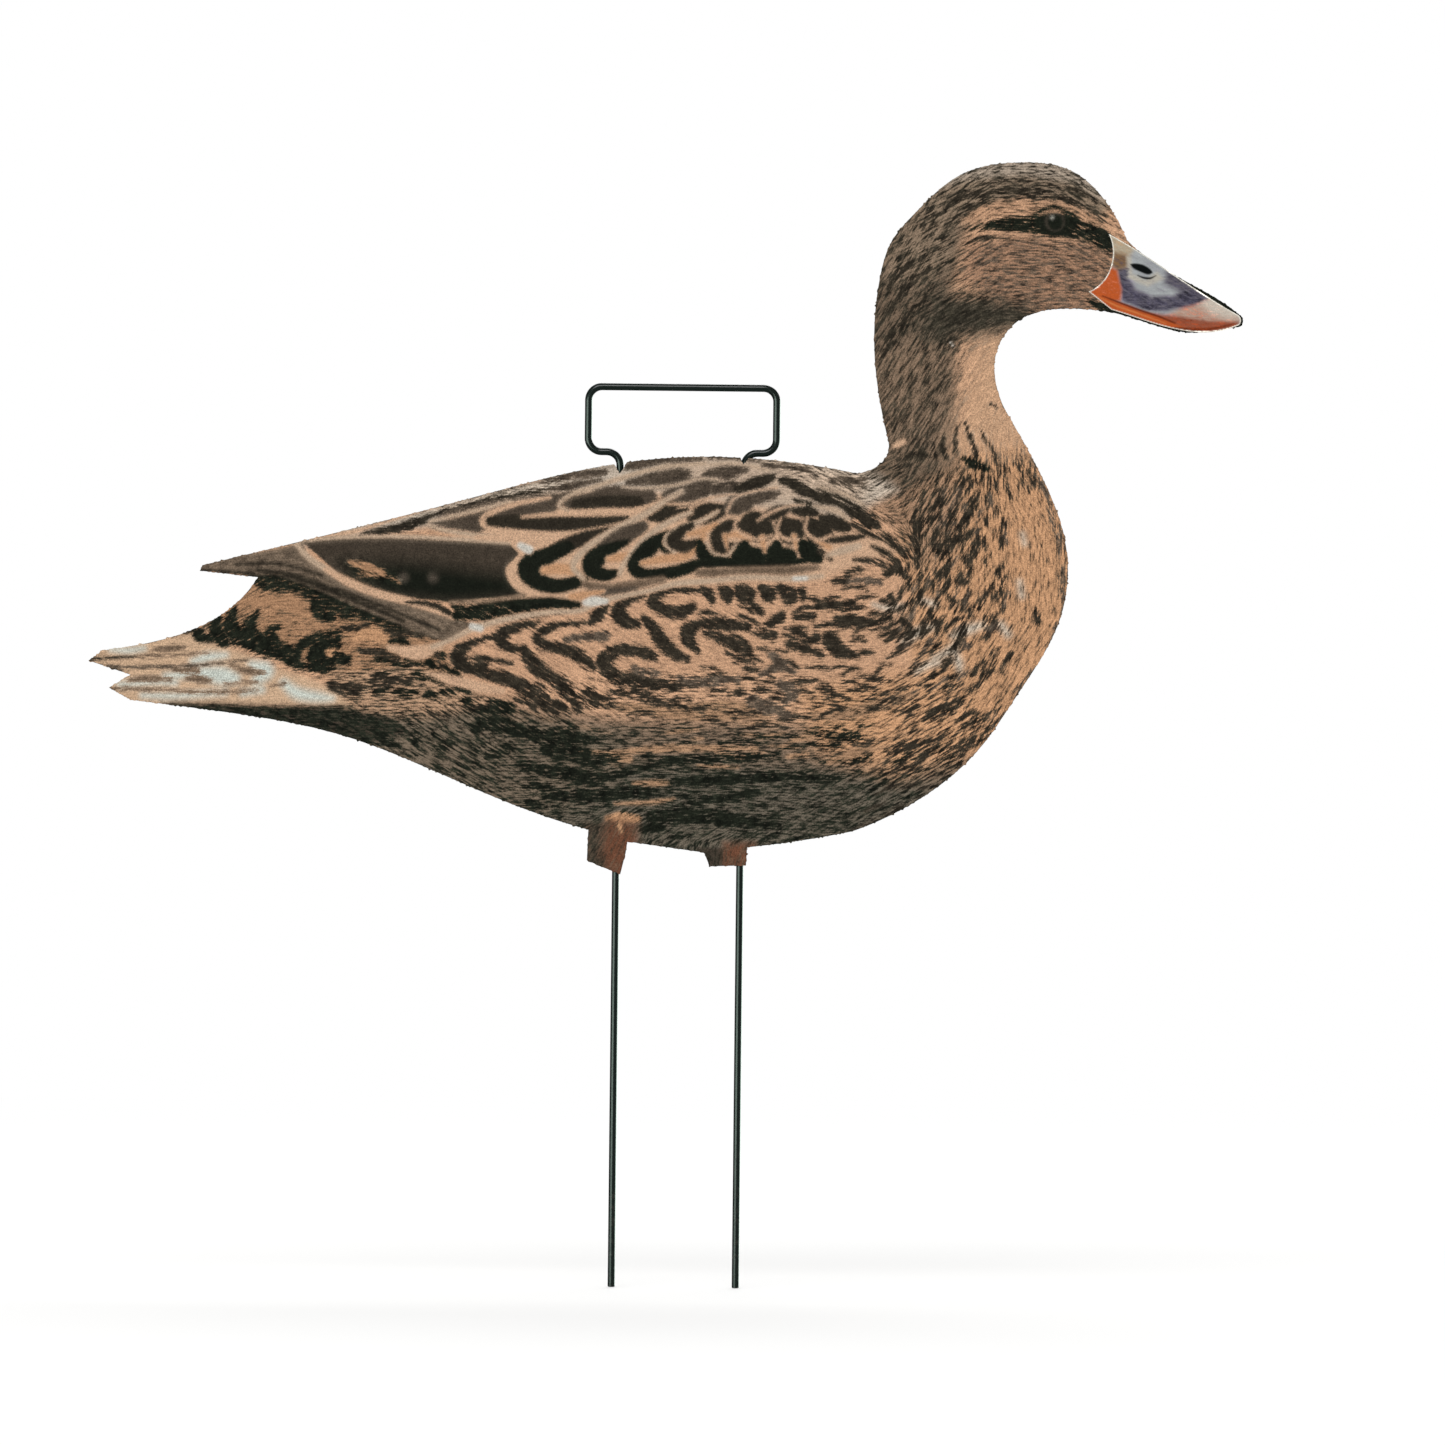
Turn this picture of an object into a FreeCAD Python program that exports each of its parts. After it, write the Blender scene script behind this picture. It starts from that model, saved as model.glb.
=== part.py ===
# Hen mallard field decoy: a flat printed silhouette carried on a bent wire stake.
#
# Sizes are millimetres.  +X points to the bill, +Z is up and Y runs through the sheet.
# The origin lies midway between the two leg tips of the stake, at ground-entry level.
# The "right" side of the bird faces -Y and the "left" side faces +Y.

import FreeCAD, Part

import os

import Sketcher

# Driving dimensions, one spreadsheet row each: alias, value, what it sets.
SIZES = [
    ("sheet_thickness", 4.0, "twin-wall plastic sheet, over both liners"),
    ("flute_pitch", 4.55, "from one flute to the next"),
    ("flute_width", 4.2, "clear width of one flute"),
    ("flute_height", 3.275, "clear height of a flute between the liners"),
    ("flutes_to_tail", 57, "flutes between the middle one and the tail tip"),
    ("flutes_to_bill", 54, "flutes between the middle one and the bill tip"),
    ("skin_thickness", 0.5, "printed flocked skin on each face"),
    ("decal_thickness", 0.2, "glossy bill decal on each skin"),
    ("notch_width", 8.4, "V over each leg, at the full notch depth"),
    ("notch_depth", 7.0, "V above its own floor, past the back's edge"),
    ("front_notch_floor", 362.2, "lowest point of the notch nearer the bill"),
    ("rear_notch_floor", 357.6, "lowest point of the notch nearer the tail"),
    ("wire_diameter", 3.175, "round steel wire of the stake"),
    ("leg_spacing", 54.6, "between leg centres, a whole number of flutes"),
    ("exposed_leg", 178.0, "straight leg below the belly tabs"),
    ("shoulder_height", 367.4, "wire centre over the back, above the leg tips"),
    ("grip_height", 396.0, "wire centre of the top bar"),
    ("grip_width", 82.8, "between the handle's upright sides"),
    ("bend_radius", 5.9, "every bend, at the wire's centre"),
    ("tip_chamfer", 0.3, "cut edge of each leg tip"),
]

# The silhouette, clockwise from the brow.  Each stretch starts where the one before ends,
# and the first starts where the last ends.
SILHOUETTE = [
    ("spline", [(211.5, 450.0), (235.0, 437.2), (244.5, 430.5)]),  # top of the bill
    ("arc", [(246.0, 428.0), (245.0, 425.5)]),  # bill tip
    ("spline", [(235.5, 424.0), (224.5, 422.6), (200.0, 428.0), (186.5, 431.5)]),  # under the bill
    ("spline", [(165.5, 432.5), (148.0, 427.5), (138.0, 414.0), (138.0, 397.5),
                (142.5, 386.5)]),  # chin and throat
    ("spline", [(159.5, 356.0), (170.0, 322.0), (166.5, 294.5), (148.0, 261.5), (133.0, 239.5),
                (98.5, 211.5), (76.5, 201.5)]),  # breast
    ("spline", [(42.5, 195.5), (30.4, 194.0)]),  # front of the belly
    ("lines", [(30.0, 186.0), (14.0, 185.5), (11.5, 191.5)]),  # front tab
    ("lines", [(-22.5, 196.0)]),  # belly between the tabs
    ("lines", [(-23.0, 191.0), (-25.3, 181.5), (-40.0, 187.5), (-39.5, 201.0)]),  # rear tab
    ("spline", [(-88.5, 218.0), (-147.0, 241.0), (-207.5, 252.0), (-241.5, 256.0)]),  # vent
    ("lines", [(-251.0, 261.2), (-241.5, 267.0), (-260.0, 273.0), (-254.0, 277.5)]),  # tail end
    ("spline", [(-228.0, 282.5), (-205.5, 291.5), (-186.0, 310.5)]),  # rump
    ("lines", [(-211.5, 313.1), (-210.5, 315.5)]),  # folded wing tip
    ("spline", [(-169.0, 326.0), (-95.5, 345.5), (-47.0, 358.5), (-4.5, 365.0), (38.5, 364.5),
                (76.5, 359.0)]),  # back
    ("spline", [(83.5, 360.8), (89.5, 366.0), (90.5, 374.0)]),  # foot of the neck
    ("spline", [(84.5, 407.0), (86.5, 447.0), (90.5, 460.0), (101.0, 473.5), (122.5, 491.5),
                (146.5, 496.5), (170.0, 493.0), (188.0, 475.5), (194.5, 463.0)]),  # nape and crown
]

# The bill decal, clockwise from its upper rear corner.
BILL_DECAL = [
    ("spline", [(201.0, 457.2), (222.0, 443.6), (243.6, 430.6)]),
    ("arc", [(245.1, 428.3), (244.4, 426.1)]),
    ("spline", [(225.0, 422.8), (200.5, 428.3), (188.0, 432.2)]),
    ("lines", [(178.0, 440.0)]),
    ("spline", [(185.5, 446.5), (188.5, 456.5), (186.5, 465.5)]),
]

# Names of the origin planes' roles, and of a curve's two ends in a sketch.
FRONT_PLANE = "XZ_Plane"
GROUND_PLANE = "XY_Plane"
START, END = 1, 2
ORIGIN = (-1, START)
TOUCH = 1e-6


def make_sheet(doc):
    """Spreadsheet with every driving dimension under its alias."""
    sheet = doc.addObject("Spreadsheet::Sheet", "sizes")
    for row, (alias, value, note) in enumerate(SIZES, start=1):
        sheet.set(f"A{row}", alias)
        sheet.set(f"B{row}", str(value))
        sheet.set(f"C{row}", note)
        sheet.setAlias(f"B{row}", alias)
    doc.recompute()


def make_body(doc, label):
    """Empty body whose label is its node name."""
    body = doc.addObject("PartDesign::Body", label)
    body.Label = label
    return body


def sketch_on(body, name, role):
    """Sketch attached to one of the body's own origin planes."""
    plane = next(item for item in body.Origin.OriginFeatures if item.Role == role)
    sketch = body.newObject("Sketcher::SketchObject", name)
    sketch.AttachmentSupport = [(plane, "")]
    sketch.MapMode = "FlatFace"
    return sketch


def vector(point):
    """Sketch point from a plain pair."""
    return FreeCAD.Vector(point[0], point[1], 0.0)


def bind(sketch, name, expression, kind, *geometry):
    """Named dimension whose value comes from the spreadsheet."""
    measured = sketch.Document.getObject("sizes").evalExpression(expression)
    value = float(getattr(measured, "Value", measured))
    index = sketch.addConstraint(Sketcher.Constraint(kind, *geometry, value))
    sketch.renameConstraint(index, name)
    sketch.setExpression(f"Constraints.{name}", expression)


def shared_ends(sketch, first, second):
    """The two curve ends that lie on one point, as a constraint names them."""
    for first_end in (START, END):
        for second_end in (START, END):
            gap = sketch.getPoint(first, first_end) - sketch.getPoint(second, second_end)
            if gap.Length < TOUCH:
                return first, first_end, second, second_end
    raise ValueError(f"{sketch.Label}: curves {first} and {second} do not meet")


def stretch_curves(kind, chain):
    """Sketch curves for one stretch of an outline, through a chain of points."""
    chain = [vector(point) for point in chain]
    if kind == "lines":
        return [Part.LineSegment(a, b) for a, b in zip(chain, chain[1:])]
    if kind == "arc":
        return [Part.Arc(*chain)]
    curve = Part.BSplineCurve()
    curve.interpolate(chain)
    return [curve]


def draw_outline(sketch, stretches):
    """Closed outline whose curves are tied end to end."""
    corner = stretches[-1][1][-1]
    curves = []
    for kind, points in stretches:
        curves += stretch_curves(kind, [corner] + points)
        corner = points[-1]
    sketch.addGeometry(curves, False)
    for curve in range(len(curves)):
        ends = shared_ends(sketch, curve - 1 if curve else len(curves) - 1, curve)
        sketch.addConstraint(Sketcher.Constraint("Coincident", *ends))


def pad_outline(body, stretches, inner_face, thickness, side_type="One side"):
    """Pad of one outline, from inner_face on towards -Y."""
    sketch = sketch_on(body, f"{body.Name}_outline", FRONT_PLANE)
    draw_outline(sketch, stretches)
    sketch.setExpression("AttachmentOffset.Base.z", inner_face)
    pad = body.newObject("PartDesign::Pad", f"{body.Name}_pad")
    pad.Profile = sketch
    pad.SideType = side_type
    pad.setExpression("Length", thickness)


def cut_notch(body, name, side, floor):
    """V notch over one leg, through the whole thickness of the body."""
    sizes = body.Document.getObject("sizes")
    middle = side * sizes.leg_spacing / 2
    low = getattr(sizes, floor)
    high = low + sizes.notch_depth
    half_width = sizes.notch_width / 2
    sketch = sketch_on(body, f"{body.Name}_{name}_outline", FRONT_PLANE)
    draw_outline(sketch, [("lines", [(middle + half_width, high), (middle - half_width, high),
                                     (middle, low)])])
    slope, mouth = 0, 1
    from_middle = (*ORIGIN, slope, START) if side > 0 else (slope, START, *ORIGIN)
    sketch.addConstraint(Sketcher.Constraint("Horizontal", mouth))
    bind(sketch, "place", "sizes.leg_spacing / 2", "DistanceX", *from_middle)
    bind(sketch, "floor", f"sizes.{floor}", "DistanceY", *ORIGIN, slope, START)
    bind(sketch, "depth", "sizes.notch_depth", "DistanceY", slope, START, slope, END)
    bind(sketch, "lean", "sizes.notch_width / 2", "DistanceX", slope, START, slope, END)
    bind(sketch, "mouth", "sizes.notch_width", "DistanceX", mouth, END, mouth, START)
    pocket = body.newObject("PartDesign::Pocket", f"{body.Name}_{name}")
    pocket.Profile = sketch
    pocket.SideType = "Symmetric"
    pocket.Type = "ThroughAll"


def cut_both_notches(body):
    """One notch over each leg of the stake."""
    cut_notch(body, "front_notch", 1, "front_notch_floor")
    cut_notch(body, "rear_notch", -1, "rear_notch_floor")


def pocket_upward(body, name, width, place, from_middle):
    """Slot as high as a flute, cut upward from the sketch plane it returns."""
    sketch = sketch_on(body, f"{name}_section", GROUND_PLANE)
    draw_outline(sketch, [("lines", [(1.0, -1.0), (1.0, 1.0), (0.0, 1.0), (0.0, -1.0)])])
    low, front = 0, 1
    for side, direction in enumerate(("Horizontal", "Vertical", "Horizontal", "Vertical")):
        sketch.addConstraint(Sketcher.Constraint(direction, side))
    bind(sketch, "place", place, "DistanceX", *from_middle)
    bind(sketch, "width", width, "DistanceX", low, START, low, END)
    bind(sketch, "low_edge", "sizes.flute_height / 2", "DistanceY", low, START, *ORIGIN)
    bind(sketch, "height", "sizes.flute_height", "DistanceY", front, START, front, END)
    pocket = body.newObject("PartDesign::Pocket", name)
    pocket.Profile = sketch
    pocket.Type = "ThroughAll"
    pocket.Reversed = True
    return sketch, pocket


def cut_flutes(body):
    """Row of upright flutes that leaves two liners joined by thin webs."""
    rear_edge = "sizes.flutes_to_tail * sizes.flute_pitch + sizes.flute_width / 2"
    sketch, flute = pocket_upward(body, "tail_flute", "sizes.flute_width", rear_edge,
                                  (0, START, *ORIGIN))
    row = body.newObject("PartDesign::LinearPattern", "flute_row")
    row.Originals = [flute]
    row.Direction = (sketch, ["H_Axis"])
    steps = "(sizes.flutes_to_tail + sizes.flutes_to_bill)"
    row.setExpression("Length", f"{steps} * sizes.flute_pitch")
    row.setExpression("Occurrences", f"{steps} + 1")
    body.Tip = row


def cut_bend_relief(body):
    """Web ends trimmed back beside the front leg, where its wire bends out of the flute."""
    sketch, _ = pocket_upward(body, "bend_relief", "sizes.bend_radius", "sizes.leg_spacing / 2",
                              (*ORIGIN, 0, START))
    sketch.setExpression("AttachmentOffset.Base.z", "sizes.shoulder_height - sizes.bend_radius")


def make_core_sheet(doc):
    """Stiff twin-wall plastic sheet in the middle of the silhouette."""
    body = make_body(doc, "core_sheet")
    pad_outline(body, SILHOUETTE, "0", "sizes.sheet_thickness", "Symmetric")
    cut_both_notches(body)
    cut_flutes(body)
    cut_bend_relief(body)


def make_printed_skins(doc):
    """Printed flocked skin on each face of the sheet."""
    right = make_body(doc, "printed_skin_right")
    pad_outline(right, SILHOUETTE, "sizes.sheet_thickness / 2", "sizes.skin_thickness")
    cut_both_notches(right)
    left = make_body(doc, "printed_skin_left")
    pad_outline(left, SILHOUETTE, "-sizes.sheet_thickness / 2 - sizes.skin_thickness",
                "sizes.skin_thickness")
    cut_both_notches(left)


def make_bill_decals(doc):
    """Glossy bill decal on the outside of each skin."""
    skin_face = "sizes.sheet_thickness / 2 + sizes.skin_thickness"
    right = make_body(doc, "bill_decal_right")
    pad_outline(right, BILL_DECAL, skin_face, "sizes.decal_thickness")
    left = make_body(doc, "bill_decal_left")
    pad_outline(left, BILL_DECAL, f"-({skin_face}) - sizes.decal_thickness",
                "sizes.decal_thickness")


def bend(before, corner, after, radius):
    """Quarter-round bend at a square corner: its start, middle and end."""
    back = (vector(before) - vector(corner)).normalize()
    ahead = (vector(after) - vector(corner)).normalize()
    start = vector(corner) + back * radius
    end = vector(corner) + ahead * radius
    centre = start + ahead * radius
    middle = centre - (back + ahead).normalize() * radius
    return start, middle, end


def draw_handle_path(sketch, sizes):
    """Wire centre line above the belly tabs: up one leg, round the handle and down."""
    leg, grip = sizes.leg_spacing / 2, sizes.grip_width / 2
    low, shoulder, top = sizes.exposed_leg, sizes.shoulder_height, sizes.grip_height
    corners = [(-leg, low), (-leg, shoulder), (-grip, shoulder), (-grip, top),
               (grip, top), (grip, shoulder), (leg, shoulder), (leg, low)]
    here = vector(corners[0])
    curves = []
    for before, corner, after in zip(corners, corners[1:], corners[2:]):
        start, middle, end = bend(before, corner, after, sizes.bend_radius)
        curves += [Part.LineSegment(here, start), Part.Arc(start, middle, end)]
        here = end
    curves.append(Part.LineSegment(here, vector(corners[-1])))
    sketch.addGeometry(curves, False)


def constrain_handle_path(sketch):
    """Tangent joints, square runs, equal bends and the handle's driving sizes."""
    runs = range(0, sketch.GeometryCount, 2)
    bends = range(1, sketch.GeometryCount, 2)
    for curve in range(1, sketch.GeometryCount):
        ends = shared_ends(sketch, curve - 1, curve)
        sketch.addConstraint(Sketcher.Constraint("Tangent", *ends))
    for number, run in enumerate(runs):
        direction = "Vertical" if number % 2 == 0 else "Horizontal"
        sketch.addConstraint(Sketcher.Constraint(direction, run))
    for number, curve in enumerate(bends):
        bind(sketch, f"bend_{number}", "sizes.bend_radius", "Radius", curve)
    rear_leg, rear_shoulder, rear_side, bar, front_side, front_shoulder, front_leg = runs
    half_legs, half_grip = "sizes.leg_spacing / 2", "sizes.grip_width / 2"
    bind(sketch, "rear_leg", half_legs, "DistanceX", rear_leg, START, *ORIGIN)
    bind(sketch, "rear_side", half_grip, "DistanceX", rear_side, START, *ORIGIN)
    bind(sketch, "front_side", half_grip, "DistanceX", *ORIGIN, front_side, START)
    bind(sketch, "front_leg", half_legs, "DistanceX", *ORIGIN, front_leg, START)
    for name, run, height in (("rear_height", rear_shoulder, "sizes.shoulder_height"),
                              ("front_height", front_shoulder, "sizes.shoulder_height"),
                              ("bar_height", bar, "sizes.grip_height")):
        bind(sketch, name, height, "DistanceY", *ORIGIN, run, START)
    bind(sketch, "rear_foot", "sizes.exposed_leg", "DistanceY", *ORIGIN, rear_leg, START)
    bind(sketch, "front_foot", "sizes.exposed_leg", "DistanceY", *ORIGIN, front_leg, END)


def draw_wire_section(sketch, name, side):
    """Wire cross-section on one leg's axis."""
    sizes = sketch.Document.getObject("sizes")
    middle = vector((side * sizes.leg_spacing / 2, 0.0))
    up = FreeCAD.Vector(0, 0, 1)
    circle = sketch.addGeometry(Part.Circle(middle, up, sizes.wire_diameter / 2), False)
    centre = (circle, 3)
    from_middle = (*ORIGIN, *centre) if side > 0 else (*centre, *ORIGIN)
    sketch.addConstraint(Sketcher.Constraint("PointOnObject", *centre, -1))
    bind(sketch, f"{name}_place", "sizes.leg_spacing / 2", "DistanceX", *from_middle)
    bind(sketch, f"{name}_diameter", "sizes.wire_diameter", "Diameter", circle)


def pad_exposed_legs(body):
    """The two straight legs between their tips and the belly tabs."""
    sketch = sketch_on(body, "leg_sections", GROUND_PLANE)
    draw_wire_section(sketch, "rear", -1)
    draw_wire_section(sketch, "front", 1)
    pad = body.newObject("PartDesign::Pad", "exposed_legs")
    pad.Profile = sketch
    pad.Refine = False
    pad.setExpression("Length", "sizes.exposed_leg")


def sweep_handle(body):
    """The rest of the wire, swept round the handle from the rear leg to the front leg."""
    section = sketch_on(body, "handle_section", GROUND_PLANE)
    section.setExpression("AttachmentOffset.Base.z", "sizes.exposed_leg")
    draw_wire_section(section, "rear", -1)
    path = sketch_on(body, "handle_path", FRONT_PLANE)
    draw_handle_path(path, body.Document.getObject("sizes"))
    constrain_handle_path(path)
    pipe = body.newObject("PartDesign::AdditivePipe", "handle")
    pipe.Profile = section
    pipe.Spine = (path, [])
    pipe.Refine = False


def chamfer_tips(body):
    """Small chamfer round each leg tip."""
    body.Document.recompute()
    base = body.Tip
    tips = [f"Edge{number}" for number, edge in enumerate(base.Shape.Edges, start=1)
            if abs(edge.BoundBox.ZMax) < TOUCH]
    chamfer = body.newObject("PartDesign::Chamfer", "leg_tip_chamfers")
    chamfer.Base = (base, tips)
    chamfer.Refine = False
    chamfer.setExpression("Size", "sizes.tip_chamfer")


def make_wire_stake(doc):
    """One bent steel wire: carrying handle on top, two ground legs below."""
    body = make_body(doc, "wire_stake")
    body.AllowCompound = True
    pad_exposed_legs(body)
    sweep_handle(body)
    chamfer_tips(body)


def check_document(doc):
    """Stop on any failed feature, broken sketch or unsound solid."""
    for item in doc.Objects:
        if "Invalid" in item.State or "Error" in item.State:
            raise RuntimeError(f"{item.Label} failed: {item.State}")
        if item.isDerivedFrom("Sketcher::SketchObject") and item.solve() != 0:
            raise RuntimeError(f"{item.Label} has constraints that conflict")
    for body in doc.findObjects("PartDesign::Body"):
        shape = body.Shape
        if shape.isNull() or not shape.isValid() or len(shape.Solids) != 1:
            raise RuntimeError(f"{body.Label} is not one sound solid")


def from_the_ground_up(shape):
    """The same solid with its faces listed by height, so each leg's free length comes first."""
    faces = sorted(shape.Faces, key=lambda face: face.BoundBox.ZMax)
    return Part.Solid(Part.Shell(faces))


def export_nodes(doc, folder):
    """One STEP file for each sub-part, named after its label."""
    os.makedirs(folder, exist_ok=True)
    for body in doc.findObjects("PartDesign::Body"):
        shape = from_the_ground_up(body.Shape)
        shape.exportStep(os.path.join(folder, f"{body.Label}.step"))
        box = shape.BoundBox
        print(f"{body.Label}: {shape.Volume:.1f} mm3, {len(shape.Faces)} faces, "
              f"{box.XLength:.1f} x {box.YLength:.2f} x {box.ZLength:.1f} mm")


def main():
    """Build, check and export the decoy."""
    doc = FreeCAD.newDocument("mallard_decoy")
    make_sheet(doc)
    make_core_sheet(doc)
    make_printed_skins(doc)
    make_bill_decals(doc)
    make_wire_stake(doc)
    doc.recompute()
    check_document(doc)
    export_nodes(doc, "parts")


main()
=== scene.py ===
"""A flat hen mallard decoy on its wire stake: the looks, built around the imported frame.

Lengths in the print sections are millimetres in the frame's own X (tail to bill) and Z (up).
Both skins carry the same print, so one drawing serves both sides. So does one for the bill.
"""

import math

import bpy
import numpy as np
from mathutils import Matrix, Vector, kdtree
from mathutils.geometry import delaunay_2d_cdt


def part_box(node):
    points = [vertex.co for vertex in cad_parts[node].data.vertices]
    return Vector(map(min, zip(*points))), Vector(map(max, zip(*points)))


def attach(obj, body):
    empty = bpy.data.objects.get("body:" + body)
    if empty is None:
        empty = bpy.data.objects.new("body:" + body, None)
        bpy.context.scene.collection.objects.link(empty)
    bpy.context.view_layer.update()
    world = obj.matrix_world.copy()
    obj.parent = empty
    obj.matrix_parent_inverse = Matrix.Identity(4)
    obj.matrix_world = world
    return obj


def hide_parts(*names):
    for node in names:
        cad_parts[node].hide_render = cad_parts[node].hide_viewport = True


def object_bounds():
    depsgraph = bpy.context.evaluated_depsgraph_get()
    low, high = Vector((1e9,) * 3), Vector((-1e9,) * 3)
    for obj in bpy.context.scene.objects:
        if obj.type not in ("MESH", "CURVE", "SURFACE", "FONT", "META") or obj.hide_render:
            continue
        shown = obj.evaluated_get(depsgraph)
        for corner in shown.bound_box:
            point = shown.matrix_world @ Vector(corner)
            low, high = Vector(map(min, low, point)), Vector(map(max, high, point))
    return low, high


MM = 0.001

# ---------------------------------------------------------------- inks

# Light inks, in linear red, green and blue.
BUFF = (0.49, 0.27, 0.145)
FLANK_BUFF = (0.52, 0.305, 0.185)
BACK_BUFF = (0.55, 0.35, 0.225)
MANTLE_BUFF = (0.48, 0.36, 0.265)
RUMP_BUFF = (0.36, 0.20, 0.11)
VENT_BUFF = (0.38, 0.235, 0.145)
BELLY_BUFF = (0.34, 0.20, 0.115)
TAIL_BUFF = (0.54, 0.365, 0.235)
TAIL_BLUE = (0.54, 0.57, 0.51)
PALE = (0.46, 0.335, 0.235)
BACK_PALE = (0.47, 0.39, 0.31)
BACK_ASH = (0.52, 0.43, 0.34)
WHITE = (0.55, 0.52, 0.46)
THROAT = (0.50, 0.305, 0.185)
EYEBROW = (0.43, 0.25, 0.15)
# Middle browns, the light ink of the dark parts.
CROWN_FRINGE = (0.31, 0.25, 0.195)
SHOULDER = (0.30, 0.18, 0.11)
CHEEK = (0.285, 0.163, 0.10)
CROWN = (0.20, 0.145, 0.10)
NECK = (0.20, 0.135, 0.09)
NAPE = (0.125, 0.087, 0.059)
NAPE_TAN = (0.20, 0.143, 0.098)
BELLY = (0.19, 0.13, 0.088)
BELLY_TAN = (0.145, 0.11, 0.078)
BELLY_GREY = (0.12, 0.10, 0.075)
TAB_RUST = (0.125, 0.052, 0.029)
TAB_GREY = (0.085, 0.058, 0.04)
JAW = (0.09, 0.07, 0.05)
MID_BROWN = (0.10, 0.068, 0.045)
PRIMARY = (0.082, 0.060, 0.042)
# Dark inks.
GREY_BROWN = (0.048, 0.036, 0.026)
TAB_BROWN = (0.045, 0.027, 0.017)
TERTIAL_BROWN = (0.042, 0.032, 0.023)
CHEEK_DARK = (0.034, 0.025, 0.018)
FEATHER_DARK = (0.018, 0.0145, 0.010)
SOOT = (0.015, 0.013, 0.009)
BLACK = (0.0065, 0.0078, 0.005)

# Each paint says whether it makes dark marks (1) or light ones (-1), and its colour.
PAINTS = {
    "black": (1, BLACK),
    "dark": (1, FEATHER_DARK),
    "grey": (1, GREY_BROWN),
    "brown": (1, MID_BROWN),
    "rim": (1, (0.036, 0.029, 0.022)),
    "glint": (1, (0.22, 0.21, 0.18)),
    "buff": (-1, BUFF),
    "tan": (-1, BACK_BUFF),
    "pale": (-1, PALE),
    "white": (-1, WHITE),
    "rump": (-1, RUMP_BUFF),
    "belly": (-1, BELLY_BUFF),
}
# Each tint names the ink it recolours, and its colour. It leaves the marks' shapes alone.
TINTS = {
    "haze": ("light", (0.50, 0.43, 0.345)),
    "ice": ("light", TAIL_BLUE),
    "mist": ("dark", (0.072, 0.058, 0.044)),
}
SMOOTH_PAINTS = ("pale", "tan")
SMOOTHING = 0.65        # share of the barbs that a smooth paint takes away
SMOOTH_REACH = 2.5      # how far outside its edge it starts to do so
STROKE_REACH = 3.0      # how far outside a stroke's edge it can change anything
MARK_LIMIT = 1.6        # the deepest ink that a stroke leaves
PAINT_EDGE = 0.9        # half the width of a paint's soft edge
TINT_EDGE = 2.6         # and of a tint's
DARK_SPREAD = 0.45      # how far dark ink bleeds out of its stroke
SPINE_STEPS = 5         # steps between two points of a spine
ROW_RISE = 0.87         # a staggered row's height over its spacing
PLUMAGE_SEED = 12

# ---------------------------------------------------------------- drawing tools


def ease(low, high, value):
    """0 below low, 1 above high, and an even S between them."""
    t = np.clip((value - low) / (high - low), 0.0, 1.0)
    return t * t * (3.0 - 2.0 * t)


def depth_in_outline(x, z, outline):
    """How far each point lies inside a closed outline; negative outside it."""
    corners = np.array(outline, float)
    nearest = np.full(len(x), np.inf)
    within = np.zeros(len(x), bool)
    for (ax, az), (bx, bz) in zip(corners, np.roll(corners, -1, axis=0)):
        dx, dz = bx - ax, bz - az
        t = np.clip(((x - ax) * dx + (z - az) * dz) / (dx * dx + dz * dz), 0.0, 1.0)
        nearest = np.minimum(nearest, np.hypot(x - ax - t * dx, z - az - t * dz))
        crossing = ax + (z - az) * dx / (dz if dz else 1.0)
        within ^= ((az > z) != (bz > z)) & (x < crossing)
    return np.where(within, nearest, -nearest)


def smooth_spine(spine):
    """A spine of (x, z, width) points, rounded into short steps by a Catmull-Rom curve."""
    points = np.array(spine, float)
    if len(points) < 3:
        return points
    padded = np.vstack([2 * points[0] - points[1], points, 2 * points[-1] - points[-2]])
    steps = []
    for a, b, c, d in zip(padded[:-3], padded[1:-2], padded[2:-1], padded[3:]):
        for t in np.arange(SPINE_STEPS) / SPINE_STEPS:
            steps.append(0.5 * (2 * b + (c - a) * t + (2 * a - 5 * b + 4 * c - d) * t * t
                                + (3 * b - a - 3 * c + d) * t * t * t))
    steps.append(points[-1])
    return np.array(steps)


def depth_in_stroke(x, z, path):
    """How far each point lies inside a stroke whose width changes along its path."""
    depth = np.full(len(x), -np.inf)
    if len(path) == 1:
        return path[0][2] / 2 - np.hypot(x - path[0][0], z - path[0][1])
    for (ax, az, aw), (bx, bz, bw) in zip(path[:-1], path[1:]):
        dx, dz = bx - ax, bz - az
        t = np.clip(((x - ax) * dx + (z - az) * dz) / (dx * dx + dz * dz + 1e-9), 0.0, 1.0)
        half = (aw + t * (bw - aw)) / 2
        depth = np.maximum(depth, half - np.hypot(x - ax - t * dx, z - az - t * dz))
    return depth


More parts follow.
